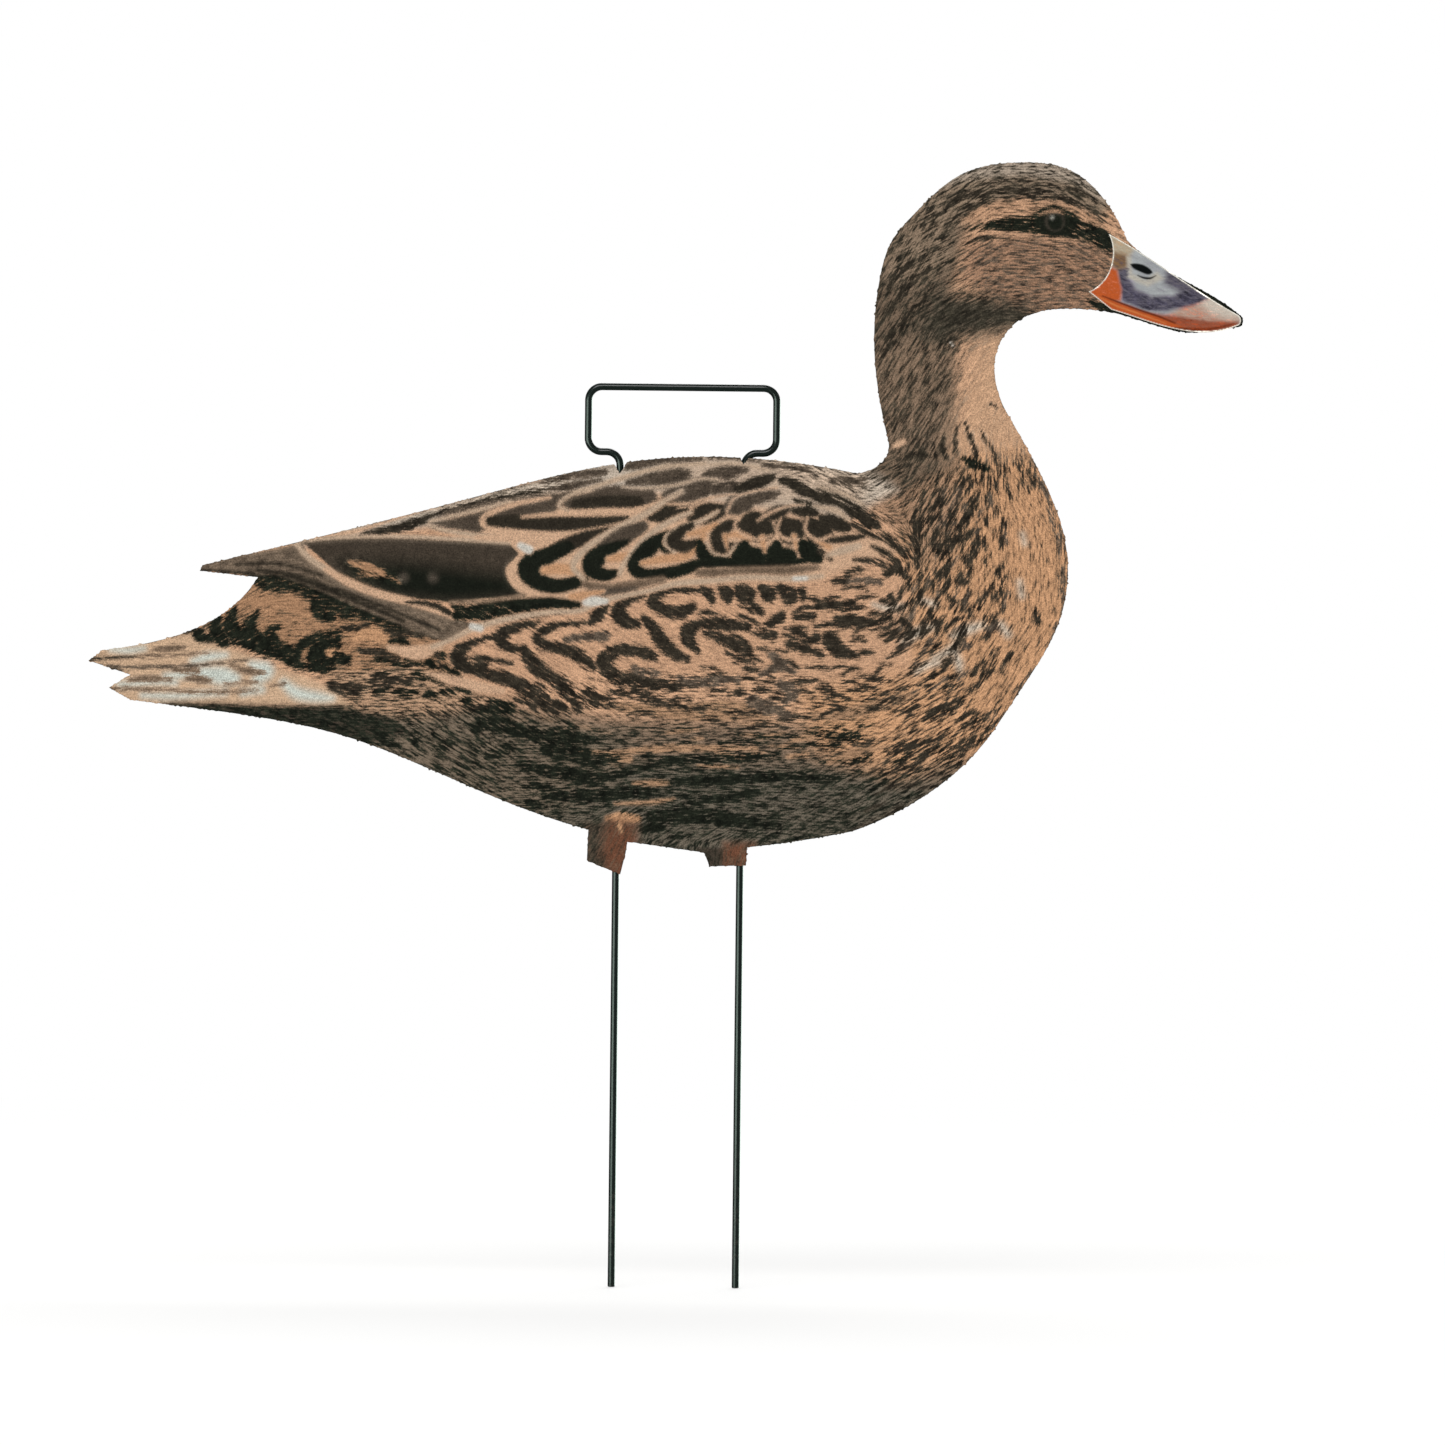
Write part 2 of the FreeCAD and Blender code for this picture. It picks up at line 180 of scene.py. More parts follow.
class Print:
    """A printed picture, held as values at points.

    ink is positive in dark marks and negative between them, in mm from a mark's edge.
    light and dark are the two inks there, and barbs is how far fine barbs shift the edge.
    """

    def __init__(self, x, z, light, dark, ink, barbs):
        self.x = x
        self.z = z
        self.ink = np.full(len(x), float(ink))
        self.light = np.tile(np.array(light, float), (len(x), 1))
        self.dark = np.tile(np.array(dark, float), (len(x), 1))
        self.barbs = np.full(len(x), float(barbs))

    def wash(self, outline, soft, light=None, dark=None, ink=None, barbs=None):
        """Lays a soft-edged ground over an outline."""
        cover = ease(-soft, soft, depth_in_outline(self.x, self.z, outline))
        for value, colour in ((self.light, light), (self.dark, dark)):
            if colour is not None:
                value += (np.array(colour) - value) * cover[:, None]
        if ink is not None:
            self.ink += (ink - self.ink) * cover
        if barbs is not None:
            self.barbs += (barbs - self.barbs) * cover

    def near_stroke(self, spine):
        """The points round a stroke, and how far each lies inside it."""
        path = smooth_spine(spine)
        reach = path[:, 2].max() / 2 + STROKE_REACH
        low, high = path[:, :2].min(axis=0) - reach, path[:, :2].max(axis=0) + reach
        near = np.flatnonzero((self.x > low[0]) & (self.x < high[0])
                              & (self.z > low[1]) & (self.z < high[1]))
        return near, depth_in_stroke(self.x[near], self.z[near], path)

    def stroke(self, paint, spine):
        """Draws one mark, or one tint, along a spine of (x, z, width) points."""
        near, depth = self.near_stroke(spine)
        if paint in TINTS:
            ink_name, colour = TINTS[paint]
            edge = TINT_EDGE
        else:
            sign, colour = PAINTS[paint]
            ink_name = "dark" if sign > 0 else "light"
            edge = PAINT_EDGE
            if sign > 0:
                depth += DARK_SPREAD
                self.ink[near] = np.maximum(self.ink[near], np.minimum(depth, MARK_LIMIT))
            else:
                self.ink[near] = np.minimum(self.ink[near], np.maximum(-depth, -MARK_LIMIT))
        if paint in SMOOTH_PAINTS:
            self.barbs[near] *= 1 - SMOOTHING * ease(-SMOOTH_REACH, 0.0, depth)
        coloured = getattr(self, ink_name)
        cover = ease(-edge, edge, depth)[:, None]
        coloured[near] += (np.array(colour) - coloured[near]) * cover

    def draw(self, marks, swell=1.0):
        """Draws marks in order: each entry is a paint and its spines. Every width grows by swell."""
        for paint, *spines in marks:
            for spine in spines:
                self.stroke(paint, [(x, z, width * swell) for x, z, width in spine])


# Which way the barbs lie: (x, z, degrees above +X), read as lines without a head or tail.
FLOW = (
    (108, 476, 50), (122, 486, 28), (150, 488, 0), (170, 486, -18), (183, 476, -48),
    (150, 478, 3), (150, 468, 4), (178, 466, -12), (150, 450, -4), (128, 450, 16),
    (176, 445, -14), (160, 437, -4), (118, 465, 38), (95, 455, 52), (108, 440, 44),
    (120, 428, 25), (92, 425, 62), (108, 412, 60), (96, 395, 66), (112, 380, 62),
    (130, 395, 48), (128, 370, 74), (145, 366, 104), (156, 342, 111), (166, 320, 96),
    (167, 300, 82), (160, 285, 67), (150, 270, 60), (140, 255, 52), (125, 244, 42),
    (108, 236, 31), (95, 224, 23), (80, 214, 18), (70, 230, 11), (60, 245, 8),
    (108, 345, 62), (120, 322, 68), (136, 320, 80), (150, 310, 89), (130, 290, 60),
    (115, 272, 36), (142, 280, 66), (98, 268, 20), (104, 302, 72), (80, 300, 8),
    (80, 280, 8), (70, 268, 5), (90, 352, 32), (94, 332, -38), (76, 341, -34),
    (60, 352, -25), (40, 356, 15), (0, 362, 12), (-50, 352, 10), (-110, 338, 14),
    (-20, 345, 14), (-120, 316, -12), (-150, 316, -22), (-185, 316, 4), (-122, 298, -13),
    (-100, 290, -22), (-82, 275, -18), (-58, 262, -34), (-30, 287, -22), (0, 274, -12),
    (22, 286, -22), (34, 270, 0), (50, 278, -10), (60, 292, -4), (0, 255, -5),
    (-100, 236, -28), (-145, 246, -14), (-60, 236, -9), (0, 245, 0), (0, 225, 3),
    (42, 225, 5), (-45, 215, 4), (20, 205, 3), (58, 212, 10), (-192, 300, 42),
    (-172, 296, -10), (-160, 284, 18), (-140, 286, 10), (-130, 268, 5), (-198, 284, 24),
    (-232, 272, 3), (-200, 260, -3), (-180, 251, -8), (-32, 190, 62), (20, 190, 86),
)
FLOW_REACH = 14.0


def flow_at(x, z):
    """The barbs' direction at points, as the cosine and sine of twice its angle."""
    east = np.zeros(len(x))
    north = np.zeros(len(x))
    for fx, fz, degrees in FLOW:
        span = ((x - fx) ** 2 + (z - fz) ** 2) / FLOW_REACH ** 2
        weight = 1.0 / (1.0 + span * span)
        east += weight * math.cos(math.radians(2 * degrees))
        north += weight * math.sin(math.radians(2 * degrees))
    size = np.hypot(east, north) + 1e-9
    return east / size, north / size


def scatter(art, rng, outline, paint, spacing, length, width, bend=0.0, chance=1.0, slant=0.0):
    """Strews marks over an outline, each lying along the barbs and bent by a share of its length."""
    corners = np.array(outline, float)
    low, high = corners.min(axis=0), corners.max(axis=0)
    rows = int((high[1] - low[1]) / (spacing * ROW_RISE)) + 1
    columns = int((high[0] - low[0]) / spacing) + 1
    row, column = np.divmod(np.arange(rows * columns), columns)
    spots = np.column_stack([low[0] + (column + 0.5 * (row % 2)) * spacing,
                             low[1] + row * spacing * ROW_RISE])
    spots += rng.uniform(-0.33, 0.33, spots.shape) * spacing
    kept = (depth_in_outline(spots[:, 0], spots[:, 1], outline) > 0) & (rng.random(len(spots)) < chance)
    spots = spots[kept]
    east, north = flow_at(spots[:, 0], spots[:, 1])
    angles = np.arctan2(north, east) / 2 + np.radians(slant)
    for (x, z), angle in zip(spots, angles):
        size = rng.uniform(0.65, 1.3)
        angle += rng.normal(0, 0.16)
        half = 0.5 * length * size
        along = np.array([math.cos(angle), math.sin(angle)])
        across = np.array([-along[1], along[0]]) * bend * length * rng.uniform(0.5, 1.4)
        middle = np.array([x, z])
        thick = width * rng.uniform(0.7, 1.25)
        ends = [(*(middle - along * half - across), thick * rng.uniform(0.2, 0.7)),
                (*middle, thick),
                (*(middle + along * half - across), thick * rng.uniform(0.2, 0.7))]
        art.stroke(paint, ends)


# ---------------------------------------------------------------- head and neck

NAPE_GROUND = ((78, 500), (80, 360), (98, 352), (122, 362), (118, 400), (118, 436), (124, 470), (150, 482),
               (188, 478), (190, 500))
NAPE_LIT = ((84, 446), (92, 466), (108, 480), (122, 470), (116, 450), (100, 440))
CROWN_GROUND = ((98, 478), (112, 468), (124, 476), (140, 481), (165, 481), (182, 472), (188, 478),
                (180, 496), (150, 502), (120, 500))
CROWN_RIM = ((112, 485), (126, 489), (150, 491), (170, 488), (184, 480), (186, 484), (165, 502),
             (120, 502))
CHEEK_GROUND = ((124, 462), (150, 465), (188, 462), (190, 434), (180, 430), (150, 430), (134, 436),
                (122, 446))
BROW_GROUND = ((122, 470), (130, 478), (150, 481), (170, 478), (188, 470), (186, 466), (160, 470),
               (140, 472))
NECK_GROUND = ((84, 414), (88, 366), (100, 360), (120, 372), (120, 418))
THROAT_GROUND = ((118, 368), (122, 384), (127, 402), (130, 420), (140, 424), (146, 410), (142, 392),
                 (156, 372))
JAW_GROUND = ((104, 424), (112, 438), (132, 438), (150, 434), (158, 428), (140, 421), (112, 417))
EYE_GROUND = ((155, 471), (158, 477), (163, 479), (168, 476), (170, 470), (167, 464), (159, 464))

HEAD_STROKES = (
    ("dark",
     ((104, 462, 1), (110, 472, 2.4), (119, 480, 3), (130, 484, 2.4)),
     ((122, 479.6, 1.6), (134, 482.6, 3), (148, 484.6, 3.4), (160, 483.4, 2.4)),
     ((140, 481, 1), (152, 481.8, 2.2), (166, 481, 2.6), (178, 476.6, 2)),
     ((160, 487, 1), (172, 484.6, 2), (180, 479.6, 2)),
     ((112, 458, 1), (116, 468, 2), (123, 476, 2.6), (134, 480, 1.6)),
     ((134, 488, 0.6), (148, 488.6, 1), (162, 487, 1))),
    ("black",
     ((126, 467, 1), (133, 468.2, 3), (140, 469.2, 5.4), (150, 469.4, 6.8), (158, 469.2, 9),
      (165, 469, 10.4), (171, 467.8, 8), (177, 466.2, 8), (183, 463.6, 8), (187, 460.6, 6)),
     ((152, 472, 1.4), (157, 475.6, 1.6), (162, 477.2, 1.6), (167, 475.6, 1.8), (173, 471, 2))),
    ("rim", ((162.8, 470.6, 7.6),)),
    ("black", ((163, 470.4, 6.2),)),
    ("glint", ((161.6, 472.4, 0.5),)),
    ("black", ((178, 436, 2), (184, 433.5, 4), (192, 431, 4))),
    ("dark",
     ((90, 442, 2.4), (98, 450, 3.6), (106, 455, 2)), ((89, 430, 2.6), (97, 440, 4), (108, 450, 3)),
     ((90, 418, 4), (97, 427, 4), (106, 437, 3)), ((88, 411, 3), (92, 420, 4)),
     ((104, 466, 2), (108, 474, 2)), ((122, 460, 1), (132, 463, 1.4), (140, 463, 0.6))),
    ("white", ((117.6, 417, 0.8), (118.6, 415.5, 0.8))),
)
THROAT_STROKES = (
    ("dark",
     ((96, 365, 2.4), (104, 368, 3.4), (110, 366, 2)), ((92, 361, 2), (100, 363, 2.6)),
     ((104, 371, 1.4), (106, 365, 2.8)), ((110, 374, 1), (110.6, 367, 2.2)),
     ((115, 377, 1), (114.4, 371, 2.4), (116, 366, 2.4)),
     ((120.6, 380, 0.8), (120.2, 375, 1.8), (120, 369, 2.4)),
     ((124.3, 381.6, 0.8), (126.4, 376.6, 2), (128.6, 370, 2.2), (129.6, 365.5, 2)),
     ((130.9, 378.8, 0.6), (132.6, 375.4, 1.4), (134, 372, 1)),
     ((134.6, 374, 0.8), (137.4, 368, 1.6), (138.6, 364, 1.6)), ((135.6, 390, 1.2), (137.6, 389, 1.8))),
    ("black", ((123.6, 366, 2), (128, 364, 4.4), (134, 361.6, 3))),
    ("tan", ((93, 371, 2.5), (97, 373, 3.5))),
)

# ---------------------------------------------------------------- back

BACK_GROUND = ((-216, 322), (-120, 342), (-60, 358), (0, 372), (84, 366), (96, 352), (70, 338), (0, 338),
               (-60, 338), (-110, 334), (-170, 328))
BACK_REAR = ((-216, 322), (-120, 343), (-50, 360), (-52, 350), (-80, 345), (-120, 336), (-166, 325))
SHOULDER_TOP = ((26, 370), (50, 356), (74, 346), (96, 330), (106, 345), (98, 364), (60, 372))
MANTLE_LIT = ((-10, 366), (40, 366), (80, 358), (80, 344), (40, 344), (-10, 352))
BACK_STROKES = (
    # long edges of the covering feathers, and the dark between them
    ("dark",
     ((-150, 332.6, 1), (-120, 340.4, 2), (-95, 347.6, 1.6), (-70, 352.5, 1.2)),
     ((-140, 330, 1), (-124, 333, 2.4), (-114, 336.2, 2.4), (-100, 341, 1.6), (-80, 346.6, 1.4),
      (-60, 349.8, 1))),
    ("grey",
     ((-62, 354.5, 1.5), (-46, 357, 2.2), (-34, 358.5, 1.5)),
     ((-58, 350.5, 1.5), (-46, 352.5, 2.2), (-36, 354.5, 1.5)),
     ((-24, 361, 2), (-16, 363, 3.2), (-6, 364, 2), (8, 364.6, 1)),
     ((12, 365.4, 1), (20, 365.6, 1.2), (34, 364.6, 1)), ((36, 362, 1.2), (48, 361.5, 1.5), (60, 359, 1)),
     ((66, 355.5, 2), (74, 355, 3), (80, 356, 2))),
    # rows of oval feather cores
    ("grey", ((-49, 343.8, 3), (-40, 345.8, 6.5), (-24, 346.4, 7.6), (-14, 347.6, 3.6))),
    ("dark", ((-46, 343.6, 3), (-34, 344.4, 4), (-20, 344.6, 4))),
    ("grey",
     ((-23, 354, 2), (-12, 355.6, 5), (-4, 356.2, 5.5), (2, 358, 2.4)),
     ((-5, 347.4, 4.5), (3, 350, 7.2), (11, 352.6, 4.4)),
     ((11, 356.8, 3), (19, 358.4, 4), (28, 360.2, 1.4)), ((15, 351.4, 3.2), (22, 352.4, 3.8))),
    ("dark",
     ((-13, 340, 3.6), (-8, 342.6, 5.5), (-4, 343.6, 2.5)), ((-10, 339, 3), (-3, 340, 3), (2, 341.6, 1.6)),
     ((5, 338.8, 3), (11, 340.6, 5.4), (18, 342.2, 3))),
    ("grey",
     ((21.5, 343.4, 3.5), (26, 345.4, 6), (31, 346.6, 2)),
     ((31, 346.6, 2.4), (36, 348.6, 3.6), (42, 349.8, 1.4))),
    ("dark",
     ((25, 351.6, 2.4), (33, 354.4, 3.6), (40, 357, 1.6)),
     ((37, 339.4, 2), (42, 341.4, 3.6), (47, 343.2, 1.4)),
     ((50, 342.4, 2), (55, 342.2, 3.4), (59, 341, 1.6)), ((30, 336.6, 5), (33, 335, 8), (38, 332.8, 3.6)),
     ((45, 336, 4.4), (48, 333.6, 7.6)), ((56.5, 336, 4.4), (60, 333, 8)),
     ((62, 338.6, 2.6), (68, 337.4, 4.6), (73, 335.2, 2.4))),
    # dark strings that run down over the shoulder
    ("dark",
     ((44, 355.6, 2), (48, 354.4, 2.8), (54, 351, 3.2)), ((56, 350.2, 2.6), (64, 347.2, 3.4)),
     ((67, 345.2, 3.4), (74, 341.8, 4)), ((77, 341.4, 3), (82, 338, 4), (86, 335.4, 2)),
     ((60, 351.6, 1), (72, 347, 1.2), (84, 340.5, 1.2)), ((70, 339, 1), (80, 334, 1.6), (88, 330.4, 1.2)),
     ((86, 333, 1.2), (94, 327.6, 1.8), (100, 322.5, 1.2)),
     ((50, 346.8, 1), (62, 344, 1.2), (72, 338.8, 1))),
)
BACK_EDGES = (
    ("tan",
     ((-166, 328, 2.5), (-144, 331, 2), (-130, 335.6, 1.6), (-106, 343.4, 1.6), (-85, 349.4, 1.4),
      (-62, 354.6, 1))),
    ("pale",
     ((-54, 344, 2), (-50, 348, 2.2), (-38, 352, 2.4), (-22, 357.2, 2.4), (-8, 361, 2.2), (10, 362.6, 1.8)),
     ((58, 344.6, 1.4), (68, 342.4, 3.4), (74, 338.4, 1.4)),
     ((60, 353, 1.2), (72, 349.6, 1.6), (80, 345, 1.2))),
    ("tan", ((-50, 341.2, 1.4), (-34, 340.6, 2), (-18, 342.4, 2), (-8, 346.4, 1.6))),
    ("pale",
     ((-26, 352, 1), (-16, 351.6, 1.4), (-6, 352.4, 1.4), (4, 354.6, 1.2)),
     ((-27, 355, 1.2), (-18, 358.4, 1.4), (-6, 360.4, 1.2)),
     ((12, 362, 1), (24, 362.6, 1.4), (38, 360, 1.2))),
)

# ---------------------------------------------------------------- wing

WING_GROUND = ((-110, 346), (-60, 350), (-10, 350), (60, 342), (98, 326), (60, 312), (0, 309), (-44, 300),
               (-96, 300), (-100, 330))
TERTIAL = ((-166, 326), (-150, 328), (-125, 328.5), (-76, 326.5), (-71.5, 322), (-77, 316), (-75, 309),
           (-69, 303.8), (-86, 302.4), (-102, 300.6), (-130, 304), (-150, 312.5))
TERTIAL_SHADE = ((-150, 318), (-120, 318), (-76, 313), (-69, 303), (-102, 300), (-130, 303), (-146, 310))
TERTIAL_SMUDGE = ((-152, 319), (-138, 319), (-124, 314), (-122, 307), (-136, 307), (-148, 312))
PRIMARIES = ((-214, 314.5), (-200, 319.5), (-168, 327), (-163, 318), (-150, 310.5), (-130, 303),
             (-108, 296), (-92, 291), (-97, 286.5), (-104, 283.5), (-120, 289), (-140, 297), (-160, 305.5),
             (-178, 312), (-186, 311.4), (-212, 313))
UNDER_WING = ((-188, 312), (-176, 313), (-160, 307), (-140, 298.5), (-122, 291), (-122, 287), (-140, 292),
              (-160, 297), (-168, 304), (-186, 305))
WING_STROKES = (
    # feathers that cover the top of the tertial
    ("grey", ((-109, 335.2, 4), (-100, 336.2, 9), (-90, 337.6, 12), (-78, 342, 8), (-62, 346.5, 3))),
    ("pale",
     ((-75, 345, 1.6), (-86, 342, 1.8), (-100, 338.4, 1.8), (-111, 335.4, 1.8), (-106, 332.4, 2),
      (-94, 330.6, 2), (-80, 329, 2))),
    ("grey", ((-82, 338.4, 5), (-70, 340.6, 9), (-60, 343.6, 8), (-50, 347.4, 4))),
    ("tan",
     ((-58, 347, 1.4), (-72, 344.2, 2.2), (-83, 340.4, 2.4), (-87.5, 336, 2.6), (-82, 332.4, 3),
      (-68, 331.4, 3.4), (-50, 332.6, 3.4), (-34, 335, 3)),
     ((-90, 329, 2), (-74, 329, 3.4), (-60, 329.4, 3.4), (-50, 331, 3))),
    ("dark", ((-84, 336.2, 4), (-70, 336, 6), (-52, 335.4, 5.8), (-34, 336.8, 3.4), (-24, 338.4, 1.4))),
    ("tan", ((-70, 338.2, 1), (-56, 339.6, 2), (-34, 341, 3), (-18, 341, 3))),
    ("pale", ((-40, 350.4, 1.4), (-49, 348, 1.6), (-54, 343.6, 1.6), (-50, 341.4, 1.2))),
    # the broad round tip in front of the tertial
    ("tan",
     ((-44, 331, 3), (-58, 325, 3.4), (-69, 320.8, 2.6), (-76, 315, 2.4), (-73.6, 308.6, 2.2),
      (-67, 304.2, 2.4), (-56, 303, 3), (-46, 303, 3))),
    ("dark", ((-30, 333.2, 2.4), (-42, 329.6, 5), (-52, 325, 6.5), (-60, 320.6, 6))),
    ("black",
     ((-50, 325, 5), (-58, 321.6, 7), (-66.6, 316, 10), (-63, 310.2, 7.4), (-54, 308, 6),
      (-43, 310.6, 4.4))),
    ("buff", ((-60, 314.8, 4), (-54, 315.6, 5), (-47, 315, 4.6))),
    # long feathers A and B
    ("pale",
     ((0, 350.4, 2), (-8, 345.4, 2.6), (-16, 340, 3), (-30, 332.6, 3.2), (-42, 324.6, 3), (-47.4, 317, 2.8),
      (-43, 311.4, 2.4))),
    ("grey", ((-17, 334.6, 4.6), (-26, 329.8, 7.4), (-34, 324, 7))),
    ("black",
     ((-24, 327.6, 2), (-31, 324.6, 5), (-38, 320, 8.5), (-39, 315.4, 7), (-33, 313, 5), (-29, 314, 3))),
    ("buff", ((-32, 320, 2.6), (-27, 321, 4), (-22, 322, 3))),
    ("pale",
     ((4, 341, 2), (-5, 337, 2.6), (-13, 331.6, 2.8), (-20, 325, 2.4), (-25, 318, 2.4), (-27, 313.6, 2))),
    ("black",
     ((-6, 331.4, 3), (-14, 325.4, 7), (-20.5, 317.4, 6), (-16, 313.6, 5), (-4, 314.6, 5), (6, 317.6, 5)),
     ((-10, 327.6, 4), (-6, 324, 3))),
    ("buff", ((-17, 318.6, 2.4), (-8, 320.4, 3.8), (2, 321.8, 4), (6, 325, 3), (10, 331, 2.4))),
    # hooked feathers above the black band
    ("pale",
     ((16, 341.6, 1.6), (8, 337, 2), (0, 334.6, 1.6), (-6, 331, 1.6), (-7, 327, 1.6), (-3, 323.6, 1.6))),
    ("dark", ((4.4, 335.4, 2.6), (0, 332.6, 4.4), (-3.6, 328.6, 5.4), (1, 326, 5), (6, 327.6, 3))),
    ("buff", ((3, 331.4, 2), (8, 332.6, 2.8), (15, 335.6, 3))),
    ("dark", ((25, 335.6, 2.6), (21, 335.6, 4.4), (16, 331, 6), (17.4, 325.6, 5), (23, 326.6, 2.6))),
    ("buff", ((20.6, 331.2, 2), (25, 331.6, 3), (30, 330, 3))),
    ("black",
     ((8, 328, 2.6), (9.6, 323.6, 6), (13, 320, 8)), ((28, 327, 4), (27, 322, 10), (33, 321.4, 9)),
     ((42, 327, 4), (42, 321.6, 10), (47, 321.6, 8)), ((53, 328.4, 3), (56, 324.4, 8), (60, 321.6, 5))),
    ("buff",
     ((19, 331, 2.4), (20.6, 324.6, 1)), ((35.6, 330, 3.4), (36.8, 324, 1.2)),
     ((49.6, 331, 2.6), (50.8, 325, 1)), ((59, 329.4, 1.6), (65, 326.4, 2.6))),
    ("pale", ((11, 327.6, 1.2), (14, 323.4, 1.2), (20, 322, 1.2), (24, 327, 1.2))),
    ("black", ((4, 317.6, 3), (14, 319.4, 4.4), (28, 318.6, 4.4), (44, 319, 3.6), (57, 321, 2))),
    ("brown",
     ((-42, 309, 2.6), (-32, 307, 4), (-20, 309, 3.4), (-8, 311.4, 2.4)),
     ((8, 314.6, 3), (25, 315, 4), (46, 316, 3.6), (60, 317.4, 1.6))),
    ("grey", ((-40, 305.6, 2), (-30, 305.6, 3), (-20, 307, 2))),
    ("dark",
     ((66, 329.4, 2), (74, 330.4, 2.6), (80, 331.4, 1)), ((76, 321, 1), (84, 320.4, 2.4), (90, 318, 1.4)),
     ((84, 327, 1), (90, 324, 2.4), (96, 320, 1.6))),
    ("grey", ((74, 311.6, 1), (82, 312, 2.6), (88, 311, 1.6))),
    ("dark", ((61, 324.6, 2), (66, 321, 1))),
    ("pale", ((64, 322.6, 1.6), (71, 325, 3.6), (78, 327, 3))),
    # the black gap below the tertial, its thin pale line and the bright line under the wing
    ("black", ((-98, 295, 5), (-84, 297, 8.4), (-70, 298, 8.4), (-56, 299.2, 7), (-45, 299.6, 3))),
    ("brown", ((-101, 300.4, 0.9), (-86, 301, 0.9), (-76, 302.6, 0.9), (-69, 303.6, 1))),
    ("buff", ((-48, 303.4, 3), (-42, 304, 4), (-34, 306, 1.6))),
    ("pale",
     ((-109, 280.6, 2), (-101, 284, 2.4), (-90, 289.4, 2.8), (-75, 293.6, 2.8), (-58, 296.4, 2.6),
      (-44, 297.4, 2.4), (-36, 301.4, 2.6), (-22, 304.6, 2.4), (-12, 306.8, 2.2), (-2, 309.6, 2.6),
      (12, 311, 2.6), (30, 312.8, 2.4), (48, 312.4, 2.6), (62, 313.6, 2))),
    ("white",
     ((-42, 300.8, 2.6), (-38, 301.6, 4.4), (-33, 301.4, 2.6)), ((-70.6, 325.6, 3), (-67, 323.8, 4)),
     ((-91.6, 290, 3), (-88, 289, 3)), ((50, 312.4, 1.8), (55, 312.6, 1.8))),
)
SCALLOPS = (
    ("tan",
     ((27.7, 341, 0.6), (23.4, 335.6, 1), (27.7, 331.3, 1.2), (34, 329.4, 1.2), (40, 331.4, 0.8)),
     ((43.6, 338.6, 0.8), (42, 333.4, 1.2), (46, 329.8, 1.4), (51.6, 329.8, 1)),
     ((55.4, 339.4, 0.8), (54.6, 333.4, 1.2), (60, 329.4, 1.4), (66, 331.6, 1)),
     ((33.6, 337.8, 0.8), (38.4, 341, 1.4), (46, 344, 1.2), (54, 345, 0.8)),
     ((20, 341.4, 0.8), (23, 347.4, 1), (31, 350.4, 1), (42, 352.4, 0.8))),
    ("pale", ((-10, 352, 0.8), (-1, 353.4, 1.2), (8, 356, 1.2), (18, 355.4, 0.8))),
    ("tan", ((-6, 344.6, 0.8), (4, 345, 1.2), (13, 347.8, 1.2), (24, 349.4, 0.8))),
)
TERTIAL_STROKES = (
    ("pale",
     ((-168, 326.4, 1.6), (-150, 328.2, 1.8), (-125, 329, 2), (-98, 328, 2), (-76, 326.6, 1.8)),
     ((-170, 326, 2.6), (-163, 318.6, 3), (-152, 312, 3))),
    ("tan",
     ((-156, 314, 2.6), (-146, 308.6, 4), (-134, 304, 4), (-120, 300.6, 4), (-108, 297, 3.6),
      (-100, 293.6, 2.6))),
    ("dark", ((-120, 300.2, 1), (-110, 299.4, 2), (-102, 296, 2.4))),
    ("rump",
     ((-146, 317.6, 1), (-138, 315.4, 3), (-131, 312.6, 2.4)), ((-141, 312.4, 1.2), (-133, 311.6, 1.6))),
    ("black", ((-100, 298.6, 2), (-94, 297.4, 3))),
    ("mist",
     ((-122, 311, 3),), ((-109, 311, 3),)),
    ("rump", ((-128, 311, 0.6), (-124, 309, 0.8))),
)
PRIMARY_STROKES = (
    ("dark",
     ((-186, 313.6, 1), (-172, 311.4, 2.4), (-160, 307.6, 2.6), (-142, 300.4, 1.8), (-122, 292, 1)),
     ((-196, 316, 0.3), (-176, 316.4, 0.5), (-158, 311.6, 0.4)),
     ((-152, 306, 0.8), (-136, 300, 0.8), (-118, 293, 0.8), (-106, 288, 0.8))),
    ("tan", ((-196, 320.4, 1), (-182, 322.6, 1.2), (-170, 325.4, 1.6))),
    ("dark", ((-212, 313, 1.2), (-200, 312.6, 1), (-188, 311.8, 1))),
)

# ---------------------------------------------------------------- flank

